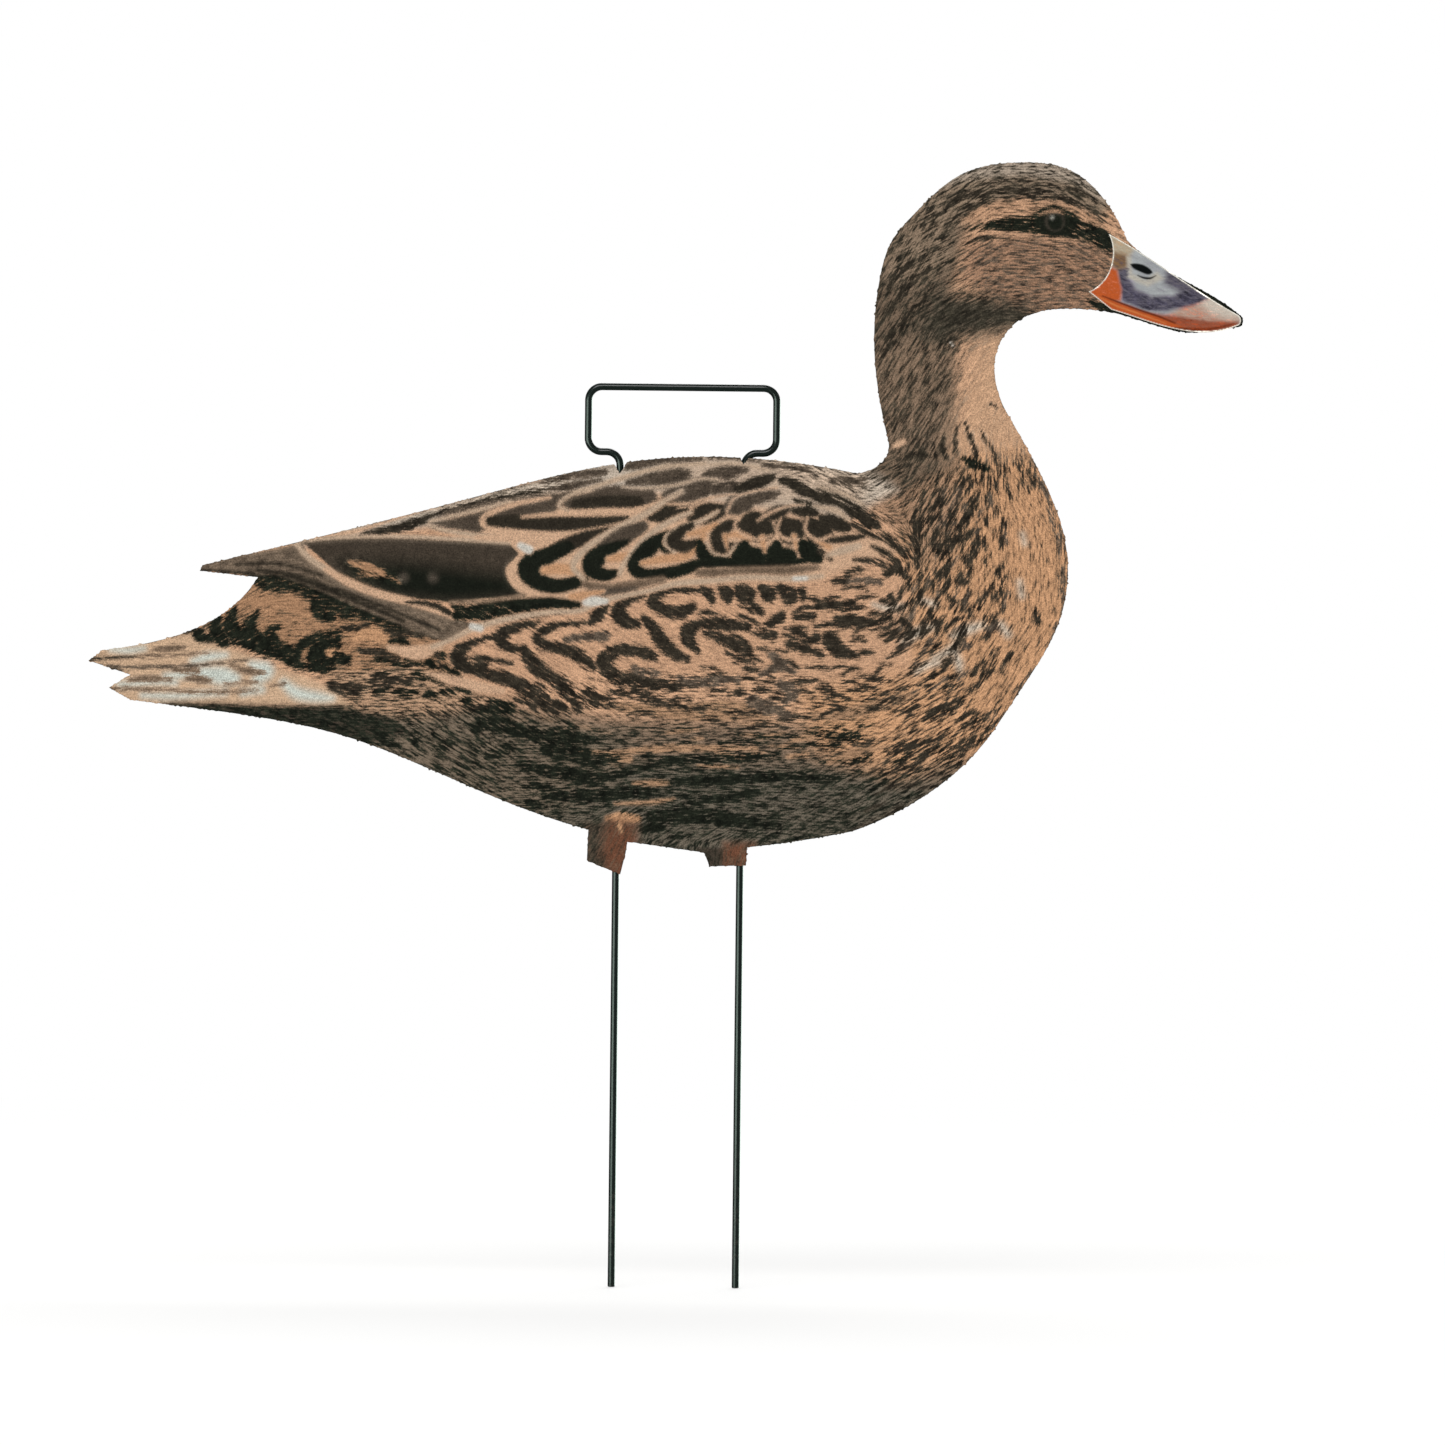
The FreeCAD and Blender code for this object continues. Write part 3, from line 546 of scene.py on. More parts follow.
FLANK_GROUND = ((-112, 284), (-90, 288), (-40, 298), (0, 309), (64, 312), (98, 318), (104, 262), (50, 250),
                (-30, 250), (-46, 254), (-70, 258), (-98, 266))
FLANK_FORE = ((10, 300), (60, 304), (96, 316), (104, 270), (96, 258), (50, 256), (14, 268))
FLANK_LOW = ((-72, 262), (-44, 270), (0, 271), (60, 268), (100, 262), (96, 246), (0, 248), (-60, 250))
FLANK_STROKES = (
    ("dark",
     ((-82, 285.6, 1.6), (-92, 282.4, 2.4), (-97.6, 277.6, 5), (-95, 273, 4.6), (-86, 272.4, 2)),
     ((-95, 275.6, 2), (-84, 275.4, 1.6), (-74, 273.6, 1)),
     ((-98, 271.6, 2.6), (-86, 269.4, 3.4), (-74, 266, 4.4), (-64, 260, 5.6), (-55, 253.6, 4)),
     ((-63, 291.4, 1.6), (-72, 289.8, 3), (-79, 285.6, 4.4), (-76, 281, 3.6), (-71, 280, 2)),
     ((-42, 292, 1.4), (-54, 290.8, 2), (-62, 286.8, 3.2), (-61, 282.6, 3.6), (-52, 280.8, 3.6),
      (-44, 277, 4.2), (-38, 272.6, 3))),
    ("grey", ((-50, 285, 2), (-42, 285.6, 2.6), (-33, 286.2, 3.4))),
    ("dark",
     ((-68.6, 280, 2.6), (-66, 275, 4.6), (-58, 268.4, 4.4), (-51, 264.6, 5.6), (-48, 259, 4.4),
      (-44, 253.4, 2.6)),
     ((-12, 277.6, 3.4), (-20, 280, 3.8), (-29, 279.4, 4.4), (-33.4, 274.4, 5.6), (-29, 269, 5),
      (-18, 266.4, 5), (-5, 264.8, 3.8), (8, 266, 3))),
    ("grey", ((-20, 272.4, 2), (-16, 270.4, 3), (-10, 270, 2))),
    ("dark",
     ((8, 306.6, 1.6), (0, 307.2, 1.8), (-8, 305.8, 2.6), (-12.4, 302, 4), (-8, 298.2, 3.8),
      (0, 297.2, 4.4), (5, 299.6, 2.6)),
     ((-16, 304, 1.4), (-23, 302, 2.2), (-27.6, 297.4, 4.8), (-24, 292.8, 4.8), (-19, 291.6, 2.6)),
     ((-33, 299, 2.6), (-36.6, 295, 3.6), (-40, 292, 2)),
     ((-16, 294, 2.6), (-12, 290, 4), (-8, 284, 4.8), (-3, 279.4, 4), (3, 276.4, 2)),
     ((9, 292.6, 2.6), (3.4, 289, 4.8), (4, 284, 4), (8, 280, 1.6)),
     ((10, 292.4, 3), (20, 292, 4.6), (29, 291, 3)),
     ((11, 287.6, 1.6), (20, 284.4, 3.2), (28, 282, 4.2), (31, 278, 2)), ((39, 292.4, 3), (44, 295.4, 3.8)),
     ((34, 288, 1.6), (41, 287.4, 2.8)), ((9, 308.4, 1.6), (12.6, 305, 3.6), (14, 301.4, 1.4)),
     ((16.6, 309.8, 2), (20, 306, 4.8), (21, 302, 2)),
     ((25.6, 308.8, 3.6), (28.6, 305.8, 6.4), (27, 303.4, 3)), ((35.6, 308.4, 3), (38.6, 305.4, 5.4)),
     ((43.6, 308.8, 3), (48, 305, 6)), ((53, 307.4, 2.6), (54, 304, 2.4)),
     ((30.6, 301.4, 2.4), (35, 297.6, 2.4)), ((-40, 261.4, 4.4), (-36, 257.4, 5)),
     ((-20, 262.6, 2.4), (-14, 259, 3.8), (-7, 257, 2.4), (3, 255.4, 1.4))),
    ("grey", ((0, 268, 2), (12, 266.4, 3), (26, 268, 2))),
    ("dark",
     ((20, 279.6, 1), (26, 277, 1.4), (30, 275.4, 1)), ((48, 283.6, 3), (55, 281.6, 3), (62, 279, 2.4)),
     ((54, 284.4, 2), (60, 286.4, 3.4)), ((66, 285.4, 6), (70, 281, 5), (78, 279, 2)),
     ((60, 300.4, 2.4), (68, 301, 3.2), (76, 301.6, 2)),
     ((69, 294.6, 3), (76, 294, 4.2), (84, 293.4, 3), (92, 295.6, 2)), ((50, 289.6, 3), (55, 287.6, 2)),
     ((50, 295.6, 2), (58, 296, 2.6))),
    ("grey",
     ((36, 270, 2), (44, 273.6, 3), (50, 271.4, 1.6)), ((40, 279, 2), (44, 275.6, 3), (48, 272.6, 1.6)),
     ((32, 258.6, 4), (40, 255.4, 5), (48, 252.4, 2)), ((44, 266, 3), (50, 262, 4), (46, 258, 2))),
)

# ---------------------------------------------------------------- breast

BREAST_GROUND = ((100, 352), (122, 372), (152, 376), (180, 320), (170, 280), (132, 232), (112, 238),
                 (92, 262), (90, 300))
SHOULDER_SHADE = ((86, 362), (122, 362), (124, 340), (118, 322), (104, 318), (98, 330), (86, 346))
BREAST_SPOTS = ((112, 350), (132, 356), (143, 340), (146, 300), (143, 276), (122, 258), (100, 262),
                (92, 290), (100, 326))
BREAST_RIM = ((146, 372), (158, 352), (166, 330), (167, 300), (160, 280), (150, 268), (128, 238),
              (136, 226), (178, 276), (184, 330), (160, 374))
THROAT_LINES = ((118, 374), (150, 374), (160, 350), (138, 350), (120, 354))
BREAST_STROKES = (
    ("dark",
     ((103, 348, 4), (104, 342, 5), (103, 333, 6), (104, 325, 3.6), (104, 318, 2)),
     ((114, 354, 2), (112, 346, 2.6), (108, 338, 2.6)), ((124, 357, 2.6), (122, 350, 3), (118, 343, 2.4)),
     ((128, 348, 3), (126, 341, 3.6), (122, 334, 5), (116, 326, 6), (111, 328, 3)),
     ((112, 334, 2.4), (111, 326, 3)), ((131, 332, 2), (129, 326, 4.4), (126, 319, 2.4), (122, 314, 2)),
     ((113, 315, 4), (116, 318, 2)), ((124, 312, 3.6), (127, 312, 2)),
     ((90, 315, 3), (95, 317, 4.4), (100, 313, 2.4)), ((73, 315, 3), (78, 317, 3.4)),
     ((68, 311.6, 3), (73, 311.6, 4)), ((92, 305.6, 2), (94, 301.4, 2.6), (88, 303.4, 1.4)),
     ((102, 303, 2.4), (106, 302, 2.4)), ((118, 304.6, 2.6), (121, 303, 2)),
     ((97, 295, 2.6), (101, 291, 3.4), (98, 288, 1.6)), ((111, 296, 2.6), (112, 293, 2)),
     ((121, 294.6, 2.6), (124, 296, 1.6))),
    ("grey",
     ((135, 291, 3), (139, 292, 3)), ((126, 284, 3.4),), ((122, 352, 2), (119, 345, 2.4))),
    ("dark", ((156, 299, 2), (157, 295, 3.4))),
    ("grey", ((110, 286, 2), (107, 282, 2))),
    ("haze",
     ((63, 323, 1.8), (70, 324, 3.4), (76, 327, 2.2)), ((85, 301.4, 1.1), (91, 300, 2.7), (98, 300.8, 1.1)),
     ((98, 285, 1.8), (104, 289, 4.1), (111, 292, 2.2)),
     ((120, 288, 2.2), (127, 291, 4.1), (133, 293, 2.2)),
     ((112, 278, 2.2), (118, 281, 3.4), (121, 284, 2.2)),
     ((121, 281, 2.2), (122.6, 276, 3.4), (123, 273, 1.8)), ((141, 293, 2.9), (144, 289, 2.9)),
     ((106, 303.6, 1.8), (111, 302, 2.9)), ((149, 312, 1.8), (150, 306, 2.2)),
     ((104, 272, 1.8), (109, 275, 2.7), (114, 276, 1.8)), ((150, 333, 1.6), (151, 329, 1.6))),
)

# ---------------------------------------------------------------- belly

BELLY_GROUND = ((-230, 256), (-160, 252), (-110, 258), (-80, 254), (-30, 249), (0, 250), (46, 248),
                (84, 244), (112, 238), (140, 232), (120, 190), (20, 180), (-60, 180), (-160, 230))
BELLY_MIDDLE = ((-110, 252), (-30, 250), (46, 250), (110, 244), (120, 232), (60, 228), (-60, 228),
                (-110, 240))
BELLY_LOW = ((-100, 232), (-50, 230), (0, 232), (50, 230), (90, 226), (120, 222), (110, 180), (-90, 180))
BELLY_RIM = ((84, 228), (110, 240), (136, 256), (142, 246), (112, 208), (80, 198))
BELLY_REAR = ((-154, 252), (-96, 258), (-60, 250), (-20, 244), (-30, 218), (-70, 200), (-160, 238))
BELLY_EDGE = ((52, 262), (96, 272), (130, 262), (126, 236), (96, 226), (62, 236))
BELLY_STROKES = (
    ("belly",
     ((-34, 256, 2), (-18, 254.4, 3.6), (0, 253, 5), (20, 254, 7), (38, 253, 4)),
     ((56, 252, 1.6), (72, 253, 4), (90, 258, 4), (104, 262, 2.4)),
     ((-44, 235.6, 1), (-30, 235, 1.6), (-12, 236.6, 2.6), (10, 237.4, 2.4), (34, 237.6, 1.6)),
     ((-30, 233, 3), (-22, 232.4, 3)), ((6, 241.4, 1), (10, 241.8, 1.2)),
     ((50, 241.4, 1.6), (58, 242.8, 2.4)), ((48, 234, 1.6), (56, 235, 2.6)),
     ((66, 232, 2), (76, 236, 3.6), (84, 238, 2)), ((-20, 221.6, 1.4), (-10, 221.8, 2.6), (-4, 222, 1.2)),
     ((-28, 212.6, 1), (-12, 213.4, 1.8), (-2, 215, 1))),
    ("buff", ((-31, 206, 2), (-25, 206.4, 4), (-18, 206, 2.6))),
    ("black",
     ((-100, 253, 3), (-86, 254.6, 6), (-74, 254, 4)), ((-124, 253, 3), (-112, 252.4, 4), (-102, 250.4, 3)),
     ((-88, 248, 4), (-76, 246, 5), (-60, 242, 5), (-42, 240.6, 4), (-34, 241.6, 1.6)),
     ((-84, 233, 4), (-76, 235, 2)), ((-58, 236, 5), (-48, 235, 6), (-38, 232, 6), (-28, 232, 3)),
     ((-70, 229, 3), (-52, 226, 5), (-36, 224, 5), (-24, 226, 3), (-10, 230, 3), (4, 232, 3)),
     ((-58, 216, 4), (-36, 216, 5), (-14, 218, 4)),
     ((-8, 232.6, 2), (10, 232.4, 3), (30, 233.4, 3), (44, 234.6, 2)),
     ((-2, 222.6, 3), (14, 223, 4), (32, 224.6, 3.6), (52, 225, 3), (70, 224.6, 3)),
     ((6, 214, 3), (20, 215.6, 3), (34, 218.6, 3)),
     ((-12, 207, 4), (6, 207.6, 6), (24, 206, 5), (44, 203.4, 3)), ((-18, 201.4, 3), (-8, 202.6, 4)),
     ((56, 246, 2), (70, 248, 2.6), (84, 249, 2)), ((70, 257, 3), (80, 257.6, 4.4), (90, 260, 3)),
     ((66, 244, 3), (78, 243.6, 4))),
    ("dark",
     ((108, 250.6, 2), (114, 254, 5), (121, 258, 4), (124, 260, 2)),
     ((90, 251, 2), (97, 253.4, 4), (104, 257, 3)), ((92, 237, 3), (104, 240, 4), (112, 242, 2))),
)

# ---------------------------------------------------------------- rump and tail

RUMP_GROUND = ((-216, 290), (-196, 306), (-184, 312), (-160, 306), (-130, 294), (-104, 284), (-100, 266),
               (-120, 258), (-150, 256), (-154, 268), (-190, 282))
REAR_FLANK = ((-134, 262), (-130, 286), (-106, 281), (-92, 266), (-84, 256), (-120, 255))
VENT_GROUND = ((-154, 270), (-120, 274), (-98, 268), (-84, 256), (-110, 250), (-150, 250))
TAIL_GROUND = ((-266, 280), (-266, 252), (-230, 252), (-180, 254), (-146, 254.5), (-152, 262), (-166, 267),
               (-182, 272), (-192, 277), (-204, 281), (-214, 287), (-240, 284))
TAIL_UNDER = ((-228, 255.4), (-200, 255), (-176, 254), (-150, 254.4), (-130, 250), (-118, 243),
              (-150, 234), (-230, 240))
RUMP_STROKES = (
    ("black",
     ((-189, 310.6, 2.4), (-180, 308.6, 5.6), (-172, 309, 5), (-160, 305, 4), (-146, 300, 3.4),
      (-132, 295.4, 3), (-122, 291.6, 2))),
    ("rump", ((-181, 306.2, 1), (-174, 308, 1.6))),
    ("black",
     ((-152, 303, 3), (-159, 299.6, 3.6), (-160, 295.4, 3.6), (-154, 293.4, 3.6)),
     ((-147, 296.6, 6), (-138, 296.8, 5), (-130, 294.6, 3))),
    ("buff", ((-154, 296.8, 2), (-150, 298, 3.4))),
    ("black",
     ((-213, 287, 2.6), (-211.4, 284.6, 4), (-207, 283.6, 3)),
     ((-203, 292.6, 2.6), (-205, 287.6, 4.4), (-201, 282.8, 4.6)),
     ((-196, 296, 1.6), (-198, 290.4, 4.6), (-195, 284.4, 5.6), (-188, 281.4, 4)),
     ((-186, 294.6, 1.6), (-190, 289, 4.4), (-187, 283.6, 5.6), (-180, 280.6, 4)),
     ((-177, 289, 2), (-180.6, 285.4, 4), (-177, 280.4, 4.4), (-171, 278, 3)),
     ((-188, 278.6, 2), (-176, 276.4, 3.4), (-168, 272.6, 3.6), (-160, 270.6, 2.4)),
     ((-149, 287.4, 1.4), (-160, 284, 3), (-167, 280, 3), (-169, 276, 2.4)),
     ((-152, 282.4, 2.6), (-158.6, 279, 5.6), (-158, 274.4, 8), (-153.6, 272.4, 3.6)),
     ((-150.6, 286, 1.6), (-150.6, 281, 2.4))),
    ("buff", ((-153.6, 277.4, 2.6), (-150.4, 278, 2))),
    ("black", ((-150, 275.6, 4), (-146.6, 274.4, 3.4))),
    ("dark",
     ((-148, 288.4, 2), (-138, 289, 2.4)), ((-129, 286.8, 3.4), (-118, 287.8, 3.8), (-108, 285.8, 2.4)),
     ((-140, 278.6, 2), (-130, 277.6, 2.4), (-124, 275, 1.6)),
     ((-118, 266.6, 2), (-134, 265.4, 4.4), (-126, 265.6, 3.4)),
     ((-153, 263, 3), (-146, 261.6, 4.4), (-138, 262, 2))),
    ("rump", ((-196, 299.6, 2), (-186, 299.6, 4), (-172, 299, 5), (-164, 294, 3))),
    ("buff", ((-143, 284.4, 2), (-136, 285.8, 5), (-130, 284.6, 2.6))),
    ("tan",
     ((-128, 280, 2), (-116, 278, 4.6), (-106, 280.6, 3)),
     ((-111, 268.6, 1), (-103, 267, 2.8), (-90, 263.6, 3.4), (-78, 261.6, 2))),
    ("rump", ((-148, 270.6, 1), (-138, 271.4, 1.8), (-128, 272, 1))),
    ("dark", ((-107, 277.6, 1.4), (-105.4, 272.4, 1.4))),
)
TAIL_STROKES = (
    ("ice",
     ((-250, 278, 1.4), (-243, 277.6, 2), (-236, 278.6, 1.4)),
     ((-214, 273, 2), (-208, 275, 3), (-200, 276, 1.6)),
     ((-226, 266.4, 2), (-214, 268, 3.6), (-202, 267, 6), (-196, 266, 4)),
     ((-186, 265, 3), (-182, 269.6, 5), (-188, 272, 2.6)),
     ((-174, 264, 2.6), (-168, 259.6, 4), (-158, 258, 3), (-153, 257.6, 1.6)),
     ((-246, 262.4, 2), (-232, 264, 2), (-222, 263.6, 1.4)),
     ((-236, 258, 1.6), (-222, 258, 2), (-200, 259.6, 1.6)), ((-192, 259.6, 2), (-184, 261, 2))),
    ("dark", ((-261, 273.4, 1), (-250, 274.4, 0.8), (-236, 275, 0.5))),
    ("brown", ((-238, 275, 0.8), (-224, 275.8, 0.6), (-208, 277, 0.3))),
    ("grey",
     ((-252, 270.6, 0.8), (-236, 270.4, 0.8), (-218, 271, 1), (-204, 272.2, 0.5), (-190, 274, 0.2))),
    ("brown",
     ((-222, 269.4, 1.6), (-212, 269.2, 1.6)),
     ((-251, 260.8, 0.9), (-232, 260.6, 0.8), (-210, 259.6, 0.8), (-196, 260.2, 0.9), (-186, 261, 0.4)),
     ((-232, 278, 1), (-224, 278.8, 2), (-218, 279.2, 1))),
    ("dark", ((-242, 283, 1.4), (-230, 284.4, 1.8), (-216, 286.8, 1.6))),
    ("brown",
     ((-242, 264.6, 1), (-234, 265.4, 2), (-224, 265, 1)),
     ((-217, 266, 1), (-212, 265.4, 2.4), (-206, 264.8, 1)),
     ((-197, 271.6, 1), (-191, 269.4, 2), (-183, 268.4, 1)), ((-200, 263.4, 0.4), (-186, 264.4, 0.8)),
     ((-180, 262.6, 0.4), (-174, 263.8, 0.8))),
    ("grey", ((-256, 269.6, 1.6), (-246, 268.6, 1.4))),
)

# ---------------------------------------------------------------- tabs and bill

REAR_TAB = ((-42, 204), (-42, 180), (-20, 180), (-22, 200), (-30, 205))
REAR_TAB_RUST = ((-31, 206), (-34, 190), (-30, 180), (-18, 180), (-18, 204))
FRONT_TAB = ((8, 193.5), (8, 180), (34, 180), (34, 193.5))
FRONT_TAB_RUST = ((20, 196), (20, 180), (34, 180), (34, 196))
BILL_GROUND = ((201, 461), (194, 453), (188, 446), (181, 440.8), (188, 431), (230, 416), (256, 420),
               (250, 440))


def paint_plumage(x, z):
    """The bird's print at points (x, z) in mm, body first, then the wing, the head and the tabs."""
    rng = np.random.default_rng(PLUMAGE_SEED)
    art = Print(x, z, light=FLANK_BUFF, dark=FEATHER_DARK, ink=-0.9, barbs=1.6)

    # breast, belly and flank
    art.wash(BREAST_GROUND, 6, light=BUFF, dark=FEATHER_DARK, ink=-1.0, barbs=1.8)
    art.wash(SHOULDER_SHADE, 9, light=SHOULDER, dark=SOOT, ink=0.0, barbs=2.2)
    art.wash(FLANK_GROUND, 4, light=FLANK_BUFF, dark=FEATHER_DARK, ink=-1.4, barbs=1.1)
    art.wash(BELLY_GROUND, 6, light=BELLY, dark=SOOT, ink=-0.1, barbs=2.6)
    art.wash(BELLY_LOW, 8, light=BELLY_GREY, dark=BLACK, ink=0.0, barbs=1.9)
    art.wash(BELLY_EDGE, 8, light=BUFF, dark=FEATHER_DARK, ink=-0.4, barbs=2.2)
    scatter(art, rng, BREAST_SPOTS, "dark", 6.8, 7, 2.7, bend=0.12, chance=0.85)
    scatter(art, rng, BREAST_SPOTS, "grey", 8.0, 7.5, 1.0, chance=0.5)
    scatter(art, rng, THROAT_LINES, "dark", 4.6, 5.5, 1.5, chance=0.9)
    scatter(art, rng, BREAST_RIM, "grey", 5.6, 10, 1.4, chance=0.85)
    scatter(art, rng, BELLY_EDGE, "dark", 8, 11, 2.4, chance=0.6)
    art.draw(BREAST_STROKES)
    scatter(art, rng, BELLY_MIDDLE, "belly", 9, 15, 1.5, chance=0.5)
    scatter(art, rng, BELLY_GROUND, "black", 7.5, 14, 1.8, chance=0.55)
    scatter(art, rng, BELLY_RIM, "dark", 7, 13, 1.8, chance=0.8)
    art.wash(BELLY_REAR, 9, light=BELLY_TAN, dark=BLACK, ink=0.0, barbs=2.4)
    scatter(art, rng, BELLY_REAR, "black", 11, 11, 4.2, bend=0.1, chance=0.5)
    art.draw(BELLY_STROKES, swell=1.3)
    art.wash(FLANK_LOW, 6, ink=-0.7, barbs=2.0)
    scatter(art, rng, FLANK_LOW, "dark", 9, 13, 2.2, bend=0.1, chance=0.75)
    scatter(art, rng, FLANK_FORE, "dark", 7, 9, 1.8, bend=0.1, chance=0.6)
    art.draw(FLANK_STROKES, swell=1.3)

    # rump and tail
    art.wash(RUMP_GROUND, 3, light=RUMP_BUFF, dark=SOOT, ink=-0.6, barbs=1.4)
    art.wash(VENT_GROUND, 4, light=VENT_BUFF, dark=SOOT, ink=-0.25, barbs=2.3)
    scatter(art, rng, VENT_GROUND, "dark", 8, 9, 2.2, chance=0.5)
    scatter(art, rng, REAR_FLANK, "black", 7, 7, 3.6, bend=0.15, chance=0.85)
    art.wash(TAIL_GROUND, 2, light=TAIL_BUFF, dark=MID_BROWN, ink=-2.0, barbs=0.7)
    art.wash(TAIL_UNDER, 2.2, light=GREY_BROWN, dark=BLACK, ink=0.9, barbs=2.2)
    art.draw(RUMP_STROKES, swell=1.4)
    art.draw(TAIL_STROKES, swell=1.3)

    # back and wing
    art.wash(BACK_GROUND, 3, light=BACK_PALE, dark=GREY_BROWN, ink=-1.1, barbs=0.8)
    art.wash(WING_GROUND, 3, light=BACK_BUFF, dark=FEATHER_DARK, ink=-1.6, barbs=0.2)
    art.wash(MANTLE_LIT, 6, light=MANTLE_BUFF)
    art.wash(BACK_REAR, 5, light=BACK_ASH, ink=-0.4, barbs=1.9)
    art.wash(SHOULDER_TOP, 5, dark=FEATHER_DARK, ink=-0.4, barbs=2.0)
    art.draw(BACK_STROKES, swell=1.6)
    art.draw(BACK_EDGES)
    art.wash(UNDER_WING, 2.2, light=RUMP_BUFF, dark=BLACK, ink=1.4, barbs=1.4)
    art.wash(PRIMARIES, 0.9, light=MID_BROWN, dark=PRIMARY, ink=1.4, barbs=0.9)
    art.draw(PRIMARY_STROKES)
    art.wash(TERTIAL, 1.0, light=GREY_BROWN, dark=TERTIAL_BROWN, ink=2.0, barbs=0.4)
    art.wash(TERTIAL_SHADE, 6, dark=BLACK)
    art.wash(TERTIAL_SMUDGE, 4, light=RUMP_BUFF, barbs=1.5)
    art.draw(TERTIAL_STROKES)
    art.draw(WING_STROKES)
    art.draw(SCALLOPS)

    # head and neck
    art.wash(NAPE_GROUND, 5, light=NAPE, dark=SOOT, ink=-0.1, barbs=2.4)
    art.wash(NAPE_LIT, 8, light=NAPE_TAN)
    art.wash(NECK_GROUND, 6, light=NECK, dark=FEATHER_DARK, ink=0.1, barbs=1.5)
    art.wash(THROAT_GROUND, 10, light=THROAT, dark=NECK, ink=-1.3, barbs=1.3)
    art.wash(CROWN_GROUND, 3, light=CROWN, dark=SOOT, ink=0.0, barbs=2.4)
    art.wash(CROWN_RIM, 2.5, light=CROWN_FRINGE, ink=-0.5)
    art.wash(CHEEK_GROUND, 5, light=CHEEK, dark=CHEEK_DARK, ink=0.0, barbs=2.1)
    art.wash(BROW_GROUND, 2.5, light=EYEBROW, dark=FEATHER_DARK, ink=-0.7, barbs=1.9)
    art.wash(JAW_GROUND, 6, light=JAW, dark=SOOT, ink=0.9, barbs=1.6)
    art.wash(EYE_GROUND, 3, barbs=0.3)
    art.draw(HEAD_STROKES)
    art.draw(THROAT_STROKES)

    # tabs, and the black sheet round the bill film
    art.wash(REAR_TAB, 2.0, light=TAB_GREY, dark=SOOT, ink=0.3, barbs=1.8)
    art.wash(REAR_TAB_RUST, 3.5, light=TAB_RUST, dark=TAB_BROWN, ink=-0.5)
    art.stroke("buff", ((-26, 203, 2.4), (-25, 200.6, 1.6)))
    art.wash(FRONT_TAB, 1.0, light=GREY_BROWN, dark=SOOT, ink=0.2, barbs=2.0)
    art.wash(FRONT_TAB_RUST, 2.5, light=TAB_RUST, dark=TAB_BROWN, ink=-0.2, barbs=2.0)
    art.wash(BILL_GROUND, 0.8, light=SOOT, dark=BLACK, ink=1.5, barbs=0.5)
    return art


# ---------------------------------------------------------------- meshes

SKIN_GRID = 0.86
SKIN_RIM_STEP = 0.8
DECAL_GRID = 0.42
DECAL_RIM_STEP = 0.4
CORNER_GAP = 0.45       # rim points closer than this share of a step are dropped
RIM_CLEARANCE = 0.62    # grid points closer to the rim than this share of the grid are dropped
NO_GRID = 1e6           # a grid wider than any outline, which leaves only the rim's points
FLUTE_PITCH = 4.55
FLUTE_RELIEF = 0.03
EDGE_ROUNDING = 0.16
EDGE_WIDTH = 1.4
FILM_TURN_DOWN = 0.06
FILM_EDGE_WIDTH = 0.9
FUZZ = 0.26             # how far a frayed rim's points shift
TUFT = 0.55             # and how far a tuft can stand out past that
TUFT_SHARE = 0.1
FRAY_SEED = 5


def face_outline(node, outward):
    """The rim of a CAD sheet's outer face, in order, as (x, z) in mm. outward is -1 or 1 along Y."""
    mesh = node.data
    corners = np.array([v.co for v in mesh.vertices]) / MM
    depth = (corners[:, 1] * outward).max()
    tolerance = 0.01
    keys = [tuple(np.round(c[[0, 2]], 3)) for c in corners]
    sides = set()
    for polygon in mesh.polygons:
        ring = list(polygon.vertices)
        if all(corners[i][1] * outward > depth - tolerance for i in ring):
            sides.update((keys[a], keys[b]) for a, b in zip(ring, ring[1:] + ring[:1]))
    after = {a: b for a, b in sides if (b, a) not in sides}
    first = min(after)
    outline = [first]
    while after[outline[-1]] != first:
        outline.append(after[outline[-1]])
    return np.array(outline)


def even_outline(outline, step):
    """The same rim with corners kept and no two points further apart than step."""
    kept = [outline[0]]
    for point in outline[1:]:
        if np.hypot(*(point - kept[-1])) > CORNER_GAP * step:
            kept.append(point)
    dense = []
    for a, b in zip(kept, kept[1:] + kept[:1]):
        count = max(1, math.ceil(np.hypot(*(b - a)) / step))
        dense.extend(a + (b - a) * k / count for k in range(count))
    return np.array(dense)


def fray(outline, rng):
    """A cut cloth edge: every point shifts a little across the rim, and a few stand out as tufts."""
    along = np.roll(outline, -1, axis=0) - np.roll(outline, 1, axis=0)
    across = np.column_stack([along[:, 1], -along[:, 0]]) / (np.hypot(*along.T)[:, None] + 1e-9)
    area = np.sum(outline[:, 0] * np.roll(outline[:, 1], -1) - np.roll(outline[:, 0], -1) * outline[:, 1])
    outwards = across * np.sign(area)
    shift = rng.uniform(-FUZZ, FUZZ, len(outline))
    tufts = rng.random(len(outline)) < TUFT_SHARE
    shift[tufts] += rng.uniform(0.3, 1.0, tufts.sum()) * TUFT
    return outline + outwards * shift[:, None]


def rim_distance(points, outline):
    """How far each point is from the outline's nearest point."""
    reach = kdtree.KDTree(len(outline))
    for index, (x, z) in enumerate(outline):
        reach.insert((x, z, 0), index)
    reach.balance()
    return np.array([reach.find((x, z, 0))[2] for x, z in points])


